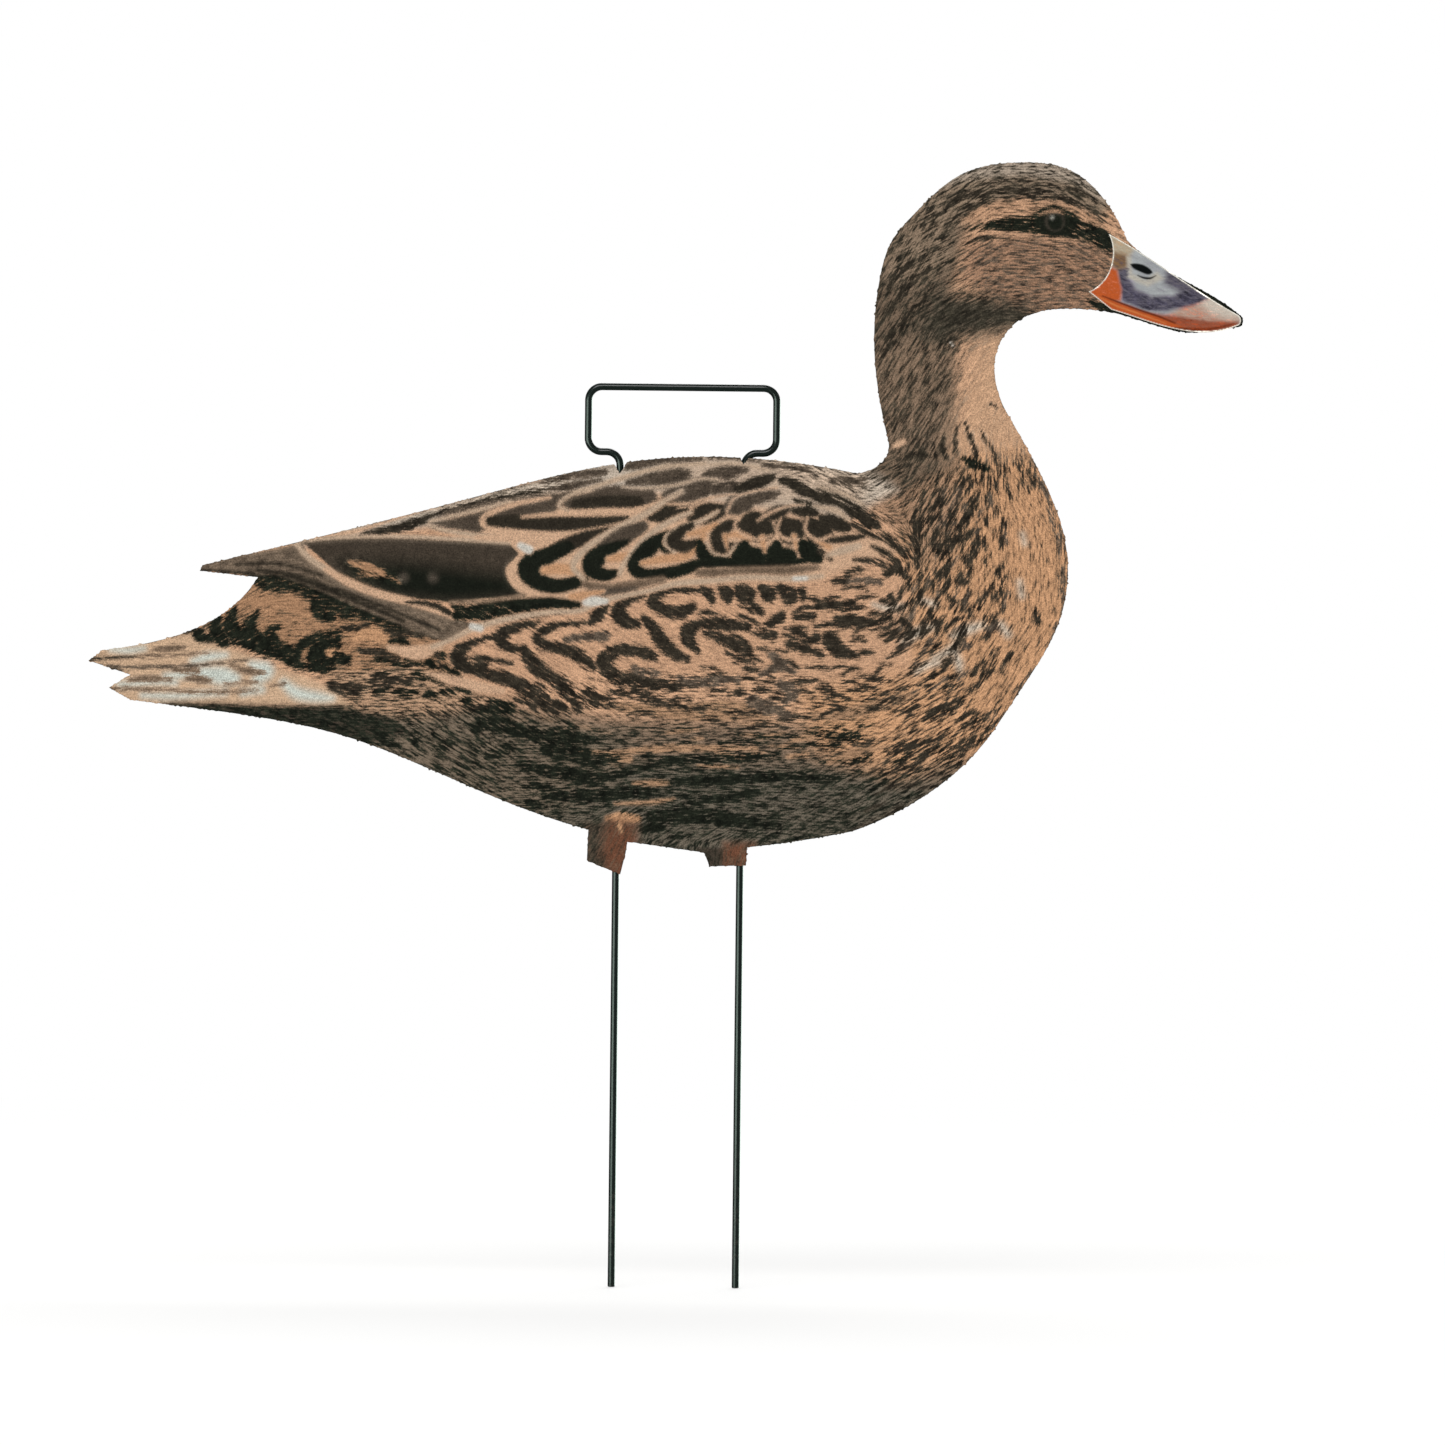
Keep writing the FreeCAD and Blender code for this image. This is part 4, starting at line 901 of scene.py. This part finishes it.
def fill_outline(outline, grid):
    """Points and triangles that fill an outline with an even grid. The outline's points come first."""
    low, high = outline.min(axis=0), outline.max(axis=0)
    rise = grid * math.sqrt(3) / 2
    columns = int((high[0] - low[0]) / grid) + 2
    rows = int((high[1] - low[1]) / rise) + 2
    row, column = np.divmod(np.arange(rows * columns), columns)
    spots = np.column_stack([low[0] + (column + 0.5 * (row % 2)) * grid, low[1] + row * rise])
    spots = spots[rim_distance(spots, outline) > RIM_CLEARANCE * grid]
    points = [Vector(p) for p in np.vstack([outline, spots])]
    count = len(outline)
    rim = [(i, (i + 1) % count) for i in range(count)]
    verts, _, faces, *_ = delaunay_2d_cdt(points, rim, [], 1, 1e-6)
    verts = np.array([tuple(v) for v in verts])
    faces = np.array(faces)
    used = np.unique(np.concatenate([np.arange(count), faces.ravel()]))
    order = np.full(len(verts), -1)
    order[used] = np.arange(len(used))
    return verts[used], order[faces]


def sheet_object(name, points, faces, rim_count, back_faces, outer, inner, relief):
    """A closed thin sheet: a dense face relief below y = outer, a wall round the rim and a plain back."""
    outward = math.copysign(1.0, outer)
    count = len(points)
    front = np.column_stack([points[:, 0], outer - outward * relief, points[:, 1]])
    back = np.column_stack([points[:rim_count, 0], np.full(rim_count, inner), points[:rim_count, 1]])
    verts = np.vstack([front, back]) * MM
    ring = np.arange(rim_count)
    following = np.roll(ring, -1)
    wall = np.column_stack([ring, following, following + count, ring + count])
    turn = 1 if outward < 0 else -1
    triangles = [tuple(f[::turn]) for f in faces.tolist()]
    triangles += [tuple((f + count)[::-turn]) for f in back_faces]
    quads = [tuple(q[::-turn]) for q in wall.tolist()]
    mesh = bpy.data.meshes.new(name)
    mesh.from_pydata(verts.tolist(), [], triangles + quads)
    mesh.validate()
    mesh.update()
    obj = bpy.data.objects.new(name, mesh)
    bpy.context.scene.collection.objects.link(obj)
    return obj


def store_print(obj, art, rim_count):
    """Writes a Print onto a sheet's vertices; the back takes the rim's values."""
    rows = np.concatenate([np.arange(len(art.x)), np.arange(rim_count)])
    east, north = flow_at(art.x, art.z)
    for label, colour in (("light", art.light), ("dark", art.dark)):
        layer = obj.data.attributes.new(label, "FLOAT_COLOR", "POINT")
        rgba = np.column_stack([colour, np.ones(len(colour))])[rows]
        layer.data.foreach_set("color", rgba.astype(np.float32).ravel())
    layer = obj.data.attributes.new("ink", "FLOAT", "POINT")
    layer.data.foreach_set("value", art.ink[rows].astype(np.float32))
    layer = obj.data.attributes.new("flow", "FLOAT_VECTOR", "POINT")
    flow = np.column_stack([east, north, art.barbs])[rows]
    layer.data.foreach_set("vector", flow.astype(np.float32).ravel())


def printed_pair(nodes, stem, frayed, grid, step, paint, relief_of, material):
    """Both sides of one printed piece, each in place of its CAD node."""
    rng = np.random.default_rng(FRAY_SEED)
    right = nodes[stem + "_right"]
    outline = even_outline(face_outline(right, -1), step)
    if frayed:
        outline = fray(outline, rng)
    points, faces = fill_outline(outline, grid)
    rim_count = len(outline)
    _, back_faces = fill_outline(outline, NO_GRID)
    rim = rim_distance(points, outline)
    art = paint(points[:, 0], points[:, 1], rim)
    relief = relief_of(points[:, 0], points[:, 1], rim)
    for side, outward in (("right", -1), ("left", 1)):
        node = stem + "_" + side
        low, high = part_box(node)
        outer, inner = (low.y, high.y) if outward < 0 else (high.y, low.y)
        obj = sheet_object(node + "_print", points, faces, rim_count, back_faces,
                           outer / MM, inner / MM, relief)
        store_print(obj, art, rim_count)
        obj.data.materials.append(material)
        for polygon in obj.data.polygons:
            polygon.use_smooth = len(polygon.vertices) == 3
        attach(obj, "silhouette")
        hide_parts(node)


def skin_relief(x, z, rim):
    """How far the flocked face sits below its highest level: ribs over the flutes, and a soft edge."""
    ribs = FLUTE_RELIEF * (0.5 + 0.5 * np.cos(2 * np.pi * x / FLUTE_PITCH))
    return ribs + EDGE_ROUNDING * (1 - ease(0.0, EDGE_WIDTH, rim)) ** 2


def decal_relief(x, z, rim):
    """The bill film lies flat and turns down a little at its cut edge."""
    return FILM_TURN_DOWN * (1 - ease(0.0, FILM_EDGE_WIDTH, rim))


# ---------------------------------------------------------------- bill print

BILL_BEIGE = (0.40, 0.335, 0.24)
BILL_OCHRE = (0.20, 0.115, 0.055)
BILL_ORANGE = (0.45, 0.085, 0.018)
BILL_RUST = (0.13, 0.022, 0.006)
BILL_FLAME = (0.55, 0.17, 0.05)
BILL_BLUE = (0.33, 0.345, 0.35)
BILL_MILK = (0.43, 0.40, 0.34)
BILL_SLATE = (0.11, 0.10, 0.12)
BILL_INK = (0.022, 0.02, 0.03)
BILL_BLACK = (0.003, 0.004, 0.004)
BILL_ROSE = (0.40, 0.27, 0.21)
BILL_BRICK = (0.25, 0.075, 0.04)
BILL_TIP = (0.50, 0.44, 0.37)
CUT_BORDER = (0.74, 0.71, 0.62)
BORDER_WIDTH = 0.42
BORDER_EDGE = 0.15
FILM_INK_EDGE = 0.35

BILL_REAR = ((184, 470), (200, 462), (196, 456), (195, 451), (188, 451), (184, 456))
BILL_STAIN = ((189, 457.5), (194.5, 456.5), (195.5, 451), (190, 449.5), (187.5, 452))
BILL_ROOT = ((186, 452), (190.4, 449.5), (192.4, 441), (192, 436), (184, 436), (176, 440))
BILL_SHADOW = ((190, 452), (195, 451.5), (196, 446), (199, 441.4), (206, 438.2), (214, 438.4), (220, 441),
               (229, 441), (233, 438), (225, 434.6), (212, 431.6), (203, 432), (192.4, 436), (191, 444))
BILL_CHEEK = ((194.6, 456), (196.4, 455), (197, 448), (203, 445.4), (208, 449), (211, 446), (204, 442.6),
              (195, 446))
BILL_CREST = ((212, 450), (222, 446), (234, 440), (227, 437), (218, 440), (211, 444))
BILL_FORE = ((213, 430), (220, 434.6), (228, 438.6), (240, 434), (246, 428), (240, 425), (222, 426.5))
BILL_LIP = ((204, 431), (216, 429.8), (230, 427.8), (244, 427.4), (244, 422), (216, 421), (204, 425))
BILL_NAIL = ((227, 441), (238, 439), (246, 430), (240, 428.6), (232, 431), (226, 436))
BILL_STRIPE = ((178, 441), (184, 438.4), (192, 435.2), (201, 432), (209, 429.6), (216, 426.4), (222, 424),
               (214, 419), (196, 426), (184, 432))

BILL_STROKES = (
    (BILL_BLACK, (196.2, 452.2, 0.3), (198.4, 451.4, 2.6), (201.4, 450.4, 3.4), (204, 449.2, 2.8),
     (205.6, 448.8, 0.8)),
    (BILL_BLACK, (199.4, 447.4, 0.4), (202, 446.4, 0.9), (205, 446.2, 0.9), (207.6, 447.4, 0.3)),
    (BILL_RUST, (184, 438.2, 0.4), (192, 435.2, 0.9), (201, 432, 1), (209, 429.4, 0.9), (216, 426.6, 0.8)),
    (BILL_RUST, (216, 424.6, 0.4), (226, 423.8, 1.4), (234, 424.6, 1), (242, 426.6, 0.4)),
    (BILL_FLAME, (182, 438, 0.3), (190, 434, 0.7), (200, 430.6, 0.7), (212, 426.4, 0.3)),
)


def paint_bill(x, z, rim):
    """The glossy bill print at points (x, z) in mm, with its cut border where rim is small."""
    art = Print(x, z, light=BILL_BLUE, dark=BILL_SLATE, ink=-1.0, barbs=1.3)
    art.wash(BILL_CREST, 2.2, light=BILL_SLATE, dark=BILL_INK, ink=-0.5, barbs=2.0)
    art.wash(BILL_FORE, 2.0, light=BILL_ROSE, dark=BILL_BRICK, ink=-0.8, barbs=1.6)
    art.wash(BILL_NAIL, 2.5, light=BILL_TIP, dark=BILL_ROSE, ink=-0.8)
    art.wash(BILL_SHADOW, 1.4, light=BILL_SLATE, dark=BILL_INK, ink=0.4, barbs=2.2)
    art.wash(BILL_LIP, 1.2, light=BILL_BRICK, dark=BILL_RUST, ink=-0.4, barbs=1.4)
    art.wash(BILL_REAR, 1.6, light=BILL_BEIGE, dark=BILL_OCHRE, ink=-0.9, barbs=1.4)
    art.wash(BILL_STAIN, 1.6, light=BILL_OCHRE, dark=BILL_INK, ink=-0.6, barbs=1.4)
    art.wash(BILL_CHEEK, 1.2, light=BILL_MILK)
    art.wash(BILL_ROOT, 1.0, light=BILL_ORANGE, dark=BILL_BRICK, ink=-0.9, barbs=1.2)
    art.wash(BILL_STRIPE, 0.7, light=BILL_ORANGE, dark=BILL_RUST, ink=-1.2, barbs=0.9)
    for colour, *spine in BILL_STROKES:
        depth = depth_in_stroke(x, z, smooth_spine(spine))
        cover = ease(-FILM_INK_EDGE, FILM_INK_EDGE, depth)[:, None]
        art.light += (np.array(colour) - art.light) * cover
        art.dark += (np.array(colour) - art.dark) * cover
    border = 1 - ease(BORDER_WIDTH - BORDER_EDGE, BORDER_WIDTH + BORDER_EDGE, rim)
    art.light += (np.array(CUT_BORDER) - art.light) * border[:, None]
    art.dark += (np.array(CUT_BORDER) - art.dark) * border[:, None]
    return art


# ---------------------------------------------------------------- materials

BARB_TURNS = 6          # directions that the barbs' noise is made in
BARB_LENGTH = 5.6
BARB_WIDTH = 0.9
MARK_EDGE = 0.95        # half the width of a mark's soft edge, and what barbs add to it
EDGE_PER_BARB = 0.08
LIGHT_SHIFT = 1.6       # the light ink brightens and dims with the barbs up to this shift
CORE_DEPTH = 1.9        # the dark ink fades from EDGE_TONE at a mark's edge to 1 this deep in it
EDGE_TONE = 2.4
DARK_MOTTLE = 0.26      # scale of the uneven patches in dark ink
LINT = (0.30, 0.27, 0.22)
SHEET_BLACK = (0.010, 0.0105, 0.010)
DUST = (0.045, 0.043, 0.038)
COAT_BLACK = (0.005, 0.010, 0.008)
DRY_SOIL = (0.05, 0.045, 0.036)


class Graph:
    """A short way to write a material's nodes."""

    def __init__(self, name):
        self.material = bpy.data.materials.new(name)
        self.material.use_nodes = True
        self.tree = self.material.node_tree
        self.tree.nodes.clear()

    def add(self, kind, inputs=(), **settings):
        """Makes a node. inputs is a dict by socket, or a row of values in order; None leaves one alone."""
        node = self.tree.nodes.new("ShaderNode" + kind)
        for key, value in settings.items():
            setattr(node, key, value)
        pairs = inputs.items() if isinstance(inputs, dict) else enumerate(inputs)
        for key, value in pairs:
            if value is None:
                continue
            if isinstance(value, bpy.types.NodeSocket):
                self.tree.links.new(value, node.inputs[key])
            else:
                node.inputs[key].default_value = value
        return node

    def math(self, operation, *inputs):
        return self.add("Math", inputs, operation=operation).outputs[0]

    def vector(self, operation, *inputs):
        node = self.add("VectorMath", inputs, operation=operation)
        return node.outputs["Value" if operation in ("DOT_PRODUCT", "LENGTH") else "Vector"]

    def attribute(self, name, output):
        return self.add("Attribute", attribute_name=name).outputs[output]

    def noise(self, vector, scale, detail=2.0, roughness=0.5):
        sockets = {"Vector": vector, "Scale": scale, "Detail": detail, "Roughness": roughness}
        return self.add("TexNoise", sockets).outputs["Fac"]

    def between(self, value, low, high, start, end, curve="LINEAR"):
        """Maps low..high to start..end, and holds the ends."""
        sockets = {"Value": value, "From Min": low, "From Max": high, "To Min": start, "To Max": end}
        return self.add("MapRange", sockets, interpolation_type=curve, clamp=True).outputs["Result"]

    def mix(self, share, first, second, blend="MIX"):
        """Blends two colours, each a socket or three numbers."""
        first, second = [value if isinstance(value, bpy.types.NodeSocket) else (*value, 1.0)
                         for value in (first, second)]
        node = self.add("Mix", {0: share, 6: first, 7: second}, data_type="RGBA", blend_type=blend)
        return node.outputs[2]

    def millimetres(self):
        """The shaded point's place in mm."""
        place = self.add("TexCoord").outputs["Object"]
        return self.vector("MULTIPLY", place, (1000.0, 1000.0, 1000.0))

    def finish(self, **surface):
        """Closes the material with one shader; each keyword is a socket's name with _ for a space."""
        sockets = {name.replace("_", " "): value for name, value in surface.items()}
        shader = self.add("BsdfPrincipled", sockets)
        self.add("OutputMaterial", {"Surface": shader.outputs[0]})
        return self.material


def barb_noise(graph, place, flow):
    """Noise drawn out along the barbs: fixed directions, each weighted by how near it is to the flow."""
    total = None
    for turn in range(BARB_TURNS):
        angle = math.pi * turn / BARB_TURNS
        along = graph.vector("DOT_PRODUCT", place, (math.cos(angle), 0.0, math.sin(angle)))
        across = graph.vector("DOT_PRODUCT", place, (-math.sin(angle), 0.0, math.cos(angle)))
        stretched = graph.add("CombineXYZ", (graph.math("DIVIDE", along, BARB_LENGTH), 7.3 * turn,
                                             graph.math("DIVIDE", across, BARB_WIDTH))).outputs[0]
        level = graph.math("SUBTRACT", graph.noise(stretched, 1.0, 2.5, 0.6), 0.5)
        facing = graph.vector("DOT_PRODUCT", flow, (math.cos(2 * angle), math.sin(2 * angle), 0.0))
        weight = graph.math("POWER", graph.math("MAXIMUM", facing, 0.0), 3.0)
        share = graph.math("MULTIPLY", level, weight)
        total = share if total is None else graph.math("ADD", total, share)
    return total


def printed_colour(graph, place, streaks, speckle, grain):
    """The stored print as a colour: two inks parted at the marks' edges, with barbs, mottle and grain."""
    flow = graph.attribute("flow", "Vector")
    barbs = graph.add("SeparateXYZ", (flow,)).outputs[2]
    shift = graph.math("MULTIPLY", graph.math("MULTIPLY", barb_noise(graph, place, flow), streaks), barbs)
    fleck = graph.math("MULTIPLY", graph.math("SUBTRACT", graph.noise(place, 1.7, 1.0), 0.5), speckle)
    ink = graph.math("ADD", graph.math("ADD", graph.attribute("ink", "Fac"), shift), fleck)
    softness = graph.math("MULTIPLY_ADD", barbs, EDGE_PER_BARB, MARK_EDGE)
    share = graph.between(graph.math("DIVIDE", ink, softness), -1.0, 1.0, 0.0, 1.0, "SMOOTHSTEP")
    lit = graph.between(shift, -LIGHT_SHIFT, LIGHT_SHIFT, 1.25, 0.6)
    light = graph.vector("SCALE", graph.attribute("light", "Color"), None, None, lit)
    core = graph.between(ink, 0.0, CORE_DEPTH, EDGE_TONE, 1.0)
    mottle = graph.between(graph.noise(place, DARK_MOTTLE, 3.0, 0.7), 0.32, 0.68, 0.5, 2.0)
    rough = graph.between(barbs, 0.4, 1.4, 0.25, 1.0)
    tone = graph.math("MULTIPLY_ADD", graph.math("SUBTRACT", mottle, 1.0), rough, 1.0)
    deep = graph.math("MULTIPLY", core, tone)
    dark = graph.vector("SCALE", graph.attribute("dark", "Color"), None, None, deep)
    colour = graph.mix(share, light, dark)
    shade = graph.between(graph.noise(place, 1.9, 2.0, 0.7), 0.25, 0.75, 1.0 - grain, 1.0 + grain)
    return graph.mix(1.0, colour, graph.add("CombineColor", (shade, shade, shade)).outputs[0], "MULTIPLY")


def flocked_print():
    """Printed flock: a dense matt nap that catches light at a glance, with single pale fibres."""
    graph = Graph("flocked_print")
    place = graph.millimetres()
    colour = printed_colour(graph, place, streaks=4.6, speckle=2.2, grain=0.55)
    nap = graph.noise(place, 2.6, 3.0, 0.75)
    lint = graph.between(graph.noise(place, 0.9, 4.0, 0.9), 0.70, 0.76, 0.0, 0.35)
    colour = graph.mix(lint, colour, LINT)
    bump = graph.add("Bump", {"Strength": 0.45, "Distance": 0.00025, "Height": nap}).outputs[0]
    return graph.finish(Base_Color=colour, Roughness=0.95, Specular_IOR_Level=0.04, Sheen_Weight=0.02,
                        Sheen_Roughness=0.6, Normal=bump)


def glossy_print():
    """Bill film: a smooth print under a clear gloss layer, a little wavy where it is stuck down."""
    graph = Graph("glossy_print")
    place = graph.millimetres()
    colour = printed_colour(graph, place, streaks=3.0, speckle=1.0, grain=0.14)
    wave = graph.noise(place, 0.12, 2.0, 0.5)
    bump = graph.add("Bump", {"Strength": 0.25, "Distance": 0.0006, "Height": wave}).outputs[0]
    haze = graph.between(graph.noise(place, 0.35, 3.0, 0.6), 0.3, 0.7, 0.24, 0.36)
    return graph.finish(Base_Color=colour, Roughness=haze, Specular_IOR_Level=0.06, Coat_Weight=0.03,
                        Coat_Roughness=0.12, Normal=bump)


def sheet_plastic():
    """Black polypropylene: faint upright draw lines, dusty scuffs and a half-matt skin."""
    graph = Graph("sheet_plastic")
    place = graph.millimetres()
    lines = graph.noise(graph.vector("MULTIPLY", place, (1.6, 1.6, 0.03)), 1.0, 3.0, 0.6)
    dust = graph.between(graph.noise(place, 0.22, 4.0, 0.7), 0.5, 0.8, 0.0, 0.35)
    colour = graph.mix(dust, SHEET_BLACK, DUST)
    rough = graph.between(lines, 0.3, 0.7, 0.36, 0.55)
    bump = graph.add("Bump", {"Strength": 0.3, "Distance": 0.0002, "Height": lines}).outputs[0]
    return graph.finish(Base_Color=colour, Roughness=rough, Specular_IOR_Level=0.4, Normal=bump)


def powder_coat():
    """Black powder coat on wire: fine orange peel, and dry soil marks near the ground ends."""
    graph = Graph("powder_coat")
    place = graph.millimetres()
    peel = graph.noise(place, 1.1, 2.0, 0.5)
    height = graph.add("SeparateXYZ", (place,)).outputs[2]
    low = graph.between(height, 10.0, 120.0, 1.0, 0.0, "SMOOTHSTEP")
    soil = graph.between(graph.noise(place, 0.25, 4.0, 0.7), 0.52, 0.72, 0.0, 0.5)
    colour = graph.mix(graph.math("MULTIPLY", low, soil), COAT_BLACK, DRY_SOIL)
    rough = graph.between(peel, 0.3, 0.7, 0.14, 0.22)
    bump = graph.add("Bump", {"Strength": 0.1, "Distance": 0.00015, "Height": peel}).outputs[0]
    return graph.finish(Base_Color=colour, Roughness=rough, Specular_IOR_Level=0.5, Normal=bump)


def finish_node(node, material):
    """Gives a CAD node one material in every slot."""
    if not node.data.materials:
        node.data.materials.append(material)
    for slot in node.material_slots:
        slot.material = material


# ---------------------------------------------------------------- studio

FIELD = 0.6358          # width of the picture at the decoy
LENS = 300.0
SENSOR = 36.0
LEAN = math.radians(0.62)
AIM_OFFSET = Vector((0.026, 0.0, 0.0005))
FLOOR_HALF = 30.0
FLOOR_DROP = 0.0002     # keeps the legs' ends from sharing the floor's plane
PAPER = (0.90, 0.90, 0.89, 1.0)
LIT_WHITE = (1.0, 1.0, 1.0, 1.0)
SKY_LIGHT = 0.76
SKY_IN_GLOSS = 0.12
LAMP_SIZE = 1.4
LAMP_DISTANCE = 2.8
LAMP_WATTS = 26.5
LAMP_ASIDE = -0.2       # how far a lamp or card stands to the side, for each 1 out from the face
LAMP_RISE = 0.9
CARD_WIDTH = 2.1
CARD_HEIGHT = 0.7
CARD_DISTANCE = 2.0
CARD_ASIDE = -0.8
CARD_COLOUR = (0.80, 1.0, 0.88, 1.0)
CARD_GLOW = 4.5


def flat_rectangle(name, half_wide, half_tall, material):
    """A level rectangle about its own origin."""
    corners = [(-half_wide, -half_tall, 0), (half_wide, -half_tall, 0), (half_wide, half_tall, 0),
               (-half_wide, half_tall, 0)]
    mesh = bpy.data.meshes.new(name)
    mesh.from_pydata(corners, [], [(0, 1, 2, 3)])
    mesh.materials.append(material)
    obj = bpy.data.objects.new(name, mesh)
    bpy.context.scene.collection.objects.link(obj)
    return obj


def face_target(obj, direction, distance, target):
    """Puts a lamp or card at a distance from the target in a direction, looking back at it."""
    obj.location = target + Vector(direction).normalized() * distance
    obj.rotation_euler = (target - obj.location).to_track_quat("-Z", "Y").to_euler()


def add_floor():
    """A wide pale floor under the ground ends of the legs, which fades into the white surroundings."""
    graph = Graph("floor_paper")
    distance = graph.vector("LENGTH", graph.add("TexCoord").outputs["Object"])
    paper = graph.add("BsdfDiffuse", {"Color": PAPER})
    glow = graph.add("Emission", {"Color": LIT_WHITE, "Strength": 1.0})
    fade = graph.between(distance, 0.3, 2.5, 0.35, 1.0, "SMOOTHSTEP")
    both = graph.add("MixShader", (fade, paper.outputs[0], glow.outputs[0]))
    graph.add("OutputMaterial", {"Surface": both.outputs[0]})
    floor = flat_rectangle("floor", FLOOR_HALF, FLOOR_HALF, graph.material)
    floor.location.z = -FLOOR_DROP
    floor.visible_glossy = False


def add_sky():
    """White surroundings to the camera, a slightly softer white as light, and a dim room in gloss."""
    world = bpy.data.worlds.new("studio")
    bpy.context.scene.world = world
    world.use_nodes = True
    tree = world.node_tree
    tree.nodes.clear()
    paths = tree.nodes.new("ShaderNodeLightPath")
    seen = None
    for ray, strength in ((None, SKY_LIGHT), ("Is Glossy Ray", SKY_IN_GLOSS), ("Is Camera Ray", 1.0)):
        white = tree.nodes.new("ShaderNodeBackground")
        white.inputs["Color"].default_value = LIT_WHITE
        white.inputs["Strength"].default_value = strength
        if ray is None:
            seen = white.outputs[0]
            continue
        mixed = tree.nodes.new("ShaderNodeMixShader")
        tree.links.new(paths.outputs[ray], mixed.inputs[0])
        tree.links.new(seen, mixed.inputs[1])
        tree.links.new(white.outputs[0], mixed.inputs[2])
        seen = mixed.outputs[0]
    out = tree.nodes.new("ShaderNodeOutputWorld")
    tree.links.new(seen, out.inputs["Surface"])


def add_lamp(name, direction, target):
    """A large soft lamp that looks at the target."""
    light = bpy.data.lights.new(name, "AREA")
    light.size = LAMP_SIZE
    light.energy = LAMP_WATTS
    lamp = bpy.data.objects.new(name, light)
    face_target(lamp, direction, LAMP_DISTANCE, target)
    bpy.context.scene.collection.objects.link(lamp)


def add_card(name, direction, target):
    """A broad glowing card that only reflections see. It puts the pale band on the wire."""
    graph = Graph(name)
    glow = graph.add("Emission", {"Color": CARD_COLOUR, "Strength": CARD_GLOW})
    graph.add("OutputMaterial", {"Surface": glow.outputs[0]})
    card = flat_rectangle(name, CARD_WIDTH / 2, CARD_HEIGHT / 2, graph.material)
    face_target(card, direction, CARD_DISTANCE, target)
    card.visible_camera = False
    card.visible_diffuse = False
    card.visible_shadow = False


def add_camera(aim):
    """A level long lens in front of the right side, rolled so that the decoy leans towards its bill."""
    lens = bpy.data.cameras.new("camera")
    lens.lens = LENS
    lens.sensor_width = SENSOR
    lens.clip_end = 100.0
    camera = bpy.data.objects.new("camera", lens)
    camera.location = aim - Vector((0.0, FIELD * LENS / SENSOR, 0.0))
    camera.rotation_euler = (math.pi / 2, -LEAN, 0.0)
    bpy.context.scene.collection.objects.link(camera)
    bpy.context.scene.camera = camera


# ---------------------------------------------------------------- the whole scene

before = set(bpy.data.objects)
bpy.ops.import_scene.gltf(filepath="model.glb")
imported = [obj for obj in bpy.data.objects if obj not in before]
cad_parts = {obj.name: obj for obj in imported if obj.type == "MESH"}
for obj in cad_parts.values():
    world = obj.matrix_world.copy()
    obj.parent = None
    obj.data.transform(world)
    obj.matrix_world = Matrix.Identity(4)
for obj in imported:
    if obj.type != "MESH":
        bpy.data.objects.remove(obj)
cad_low, cad_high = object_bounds()
centre = (cad_low + cad_high) / 2

printed_pair(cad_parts, "printed_skin", True, SKIN_GRID, SKIN_RIM_STEP,
             lambda x, z, rim: paint_plumage(x, z), skin_relief, flocked_print())
printed_pair(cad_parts, "bill_decal", False, DECAL_GRID, DECAL_RIM_STEP,
             paint_bill, decal_relief, glossy_print())
finish_node(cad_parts["core_sheet"], sheet_plastic())
finish_node(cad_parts["wire_stake"], powder_coat())

add_floor()
add_sky()
for side, facing in (("right", 1.0), ("left", -1.0)):
    add_lamp("lamp_" + side, (LAMP_ASIDE * facing, -facing, LAMP_RISE), centre)
    add_card("card_" + side, (CARD_ASIDE * facing, -facing, 0.0), centre)
add_camera(centre + AIM_OFFSET)
bpy.context.scene.view_settings.view_transform = "Standard"
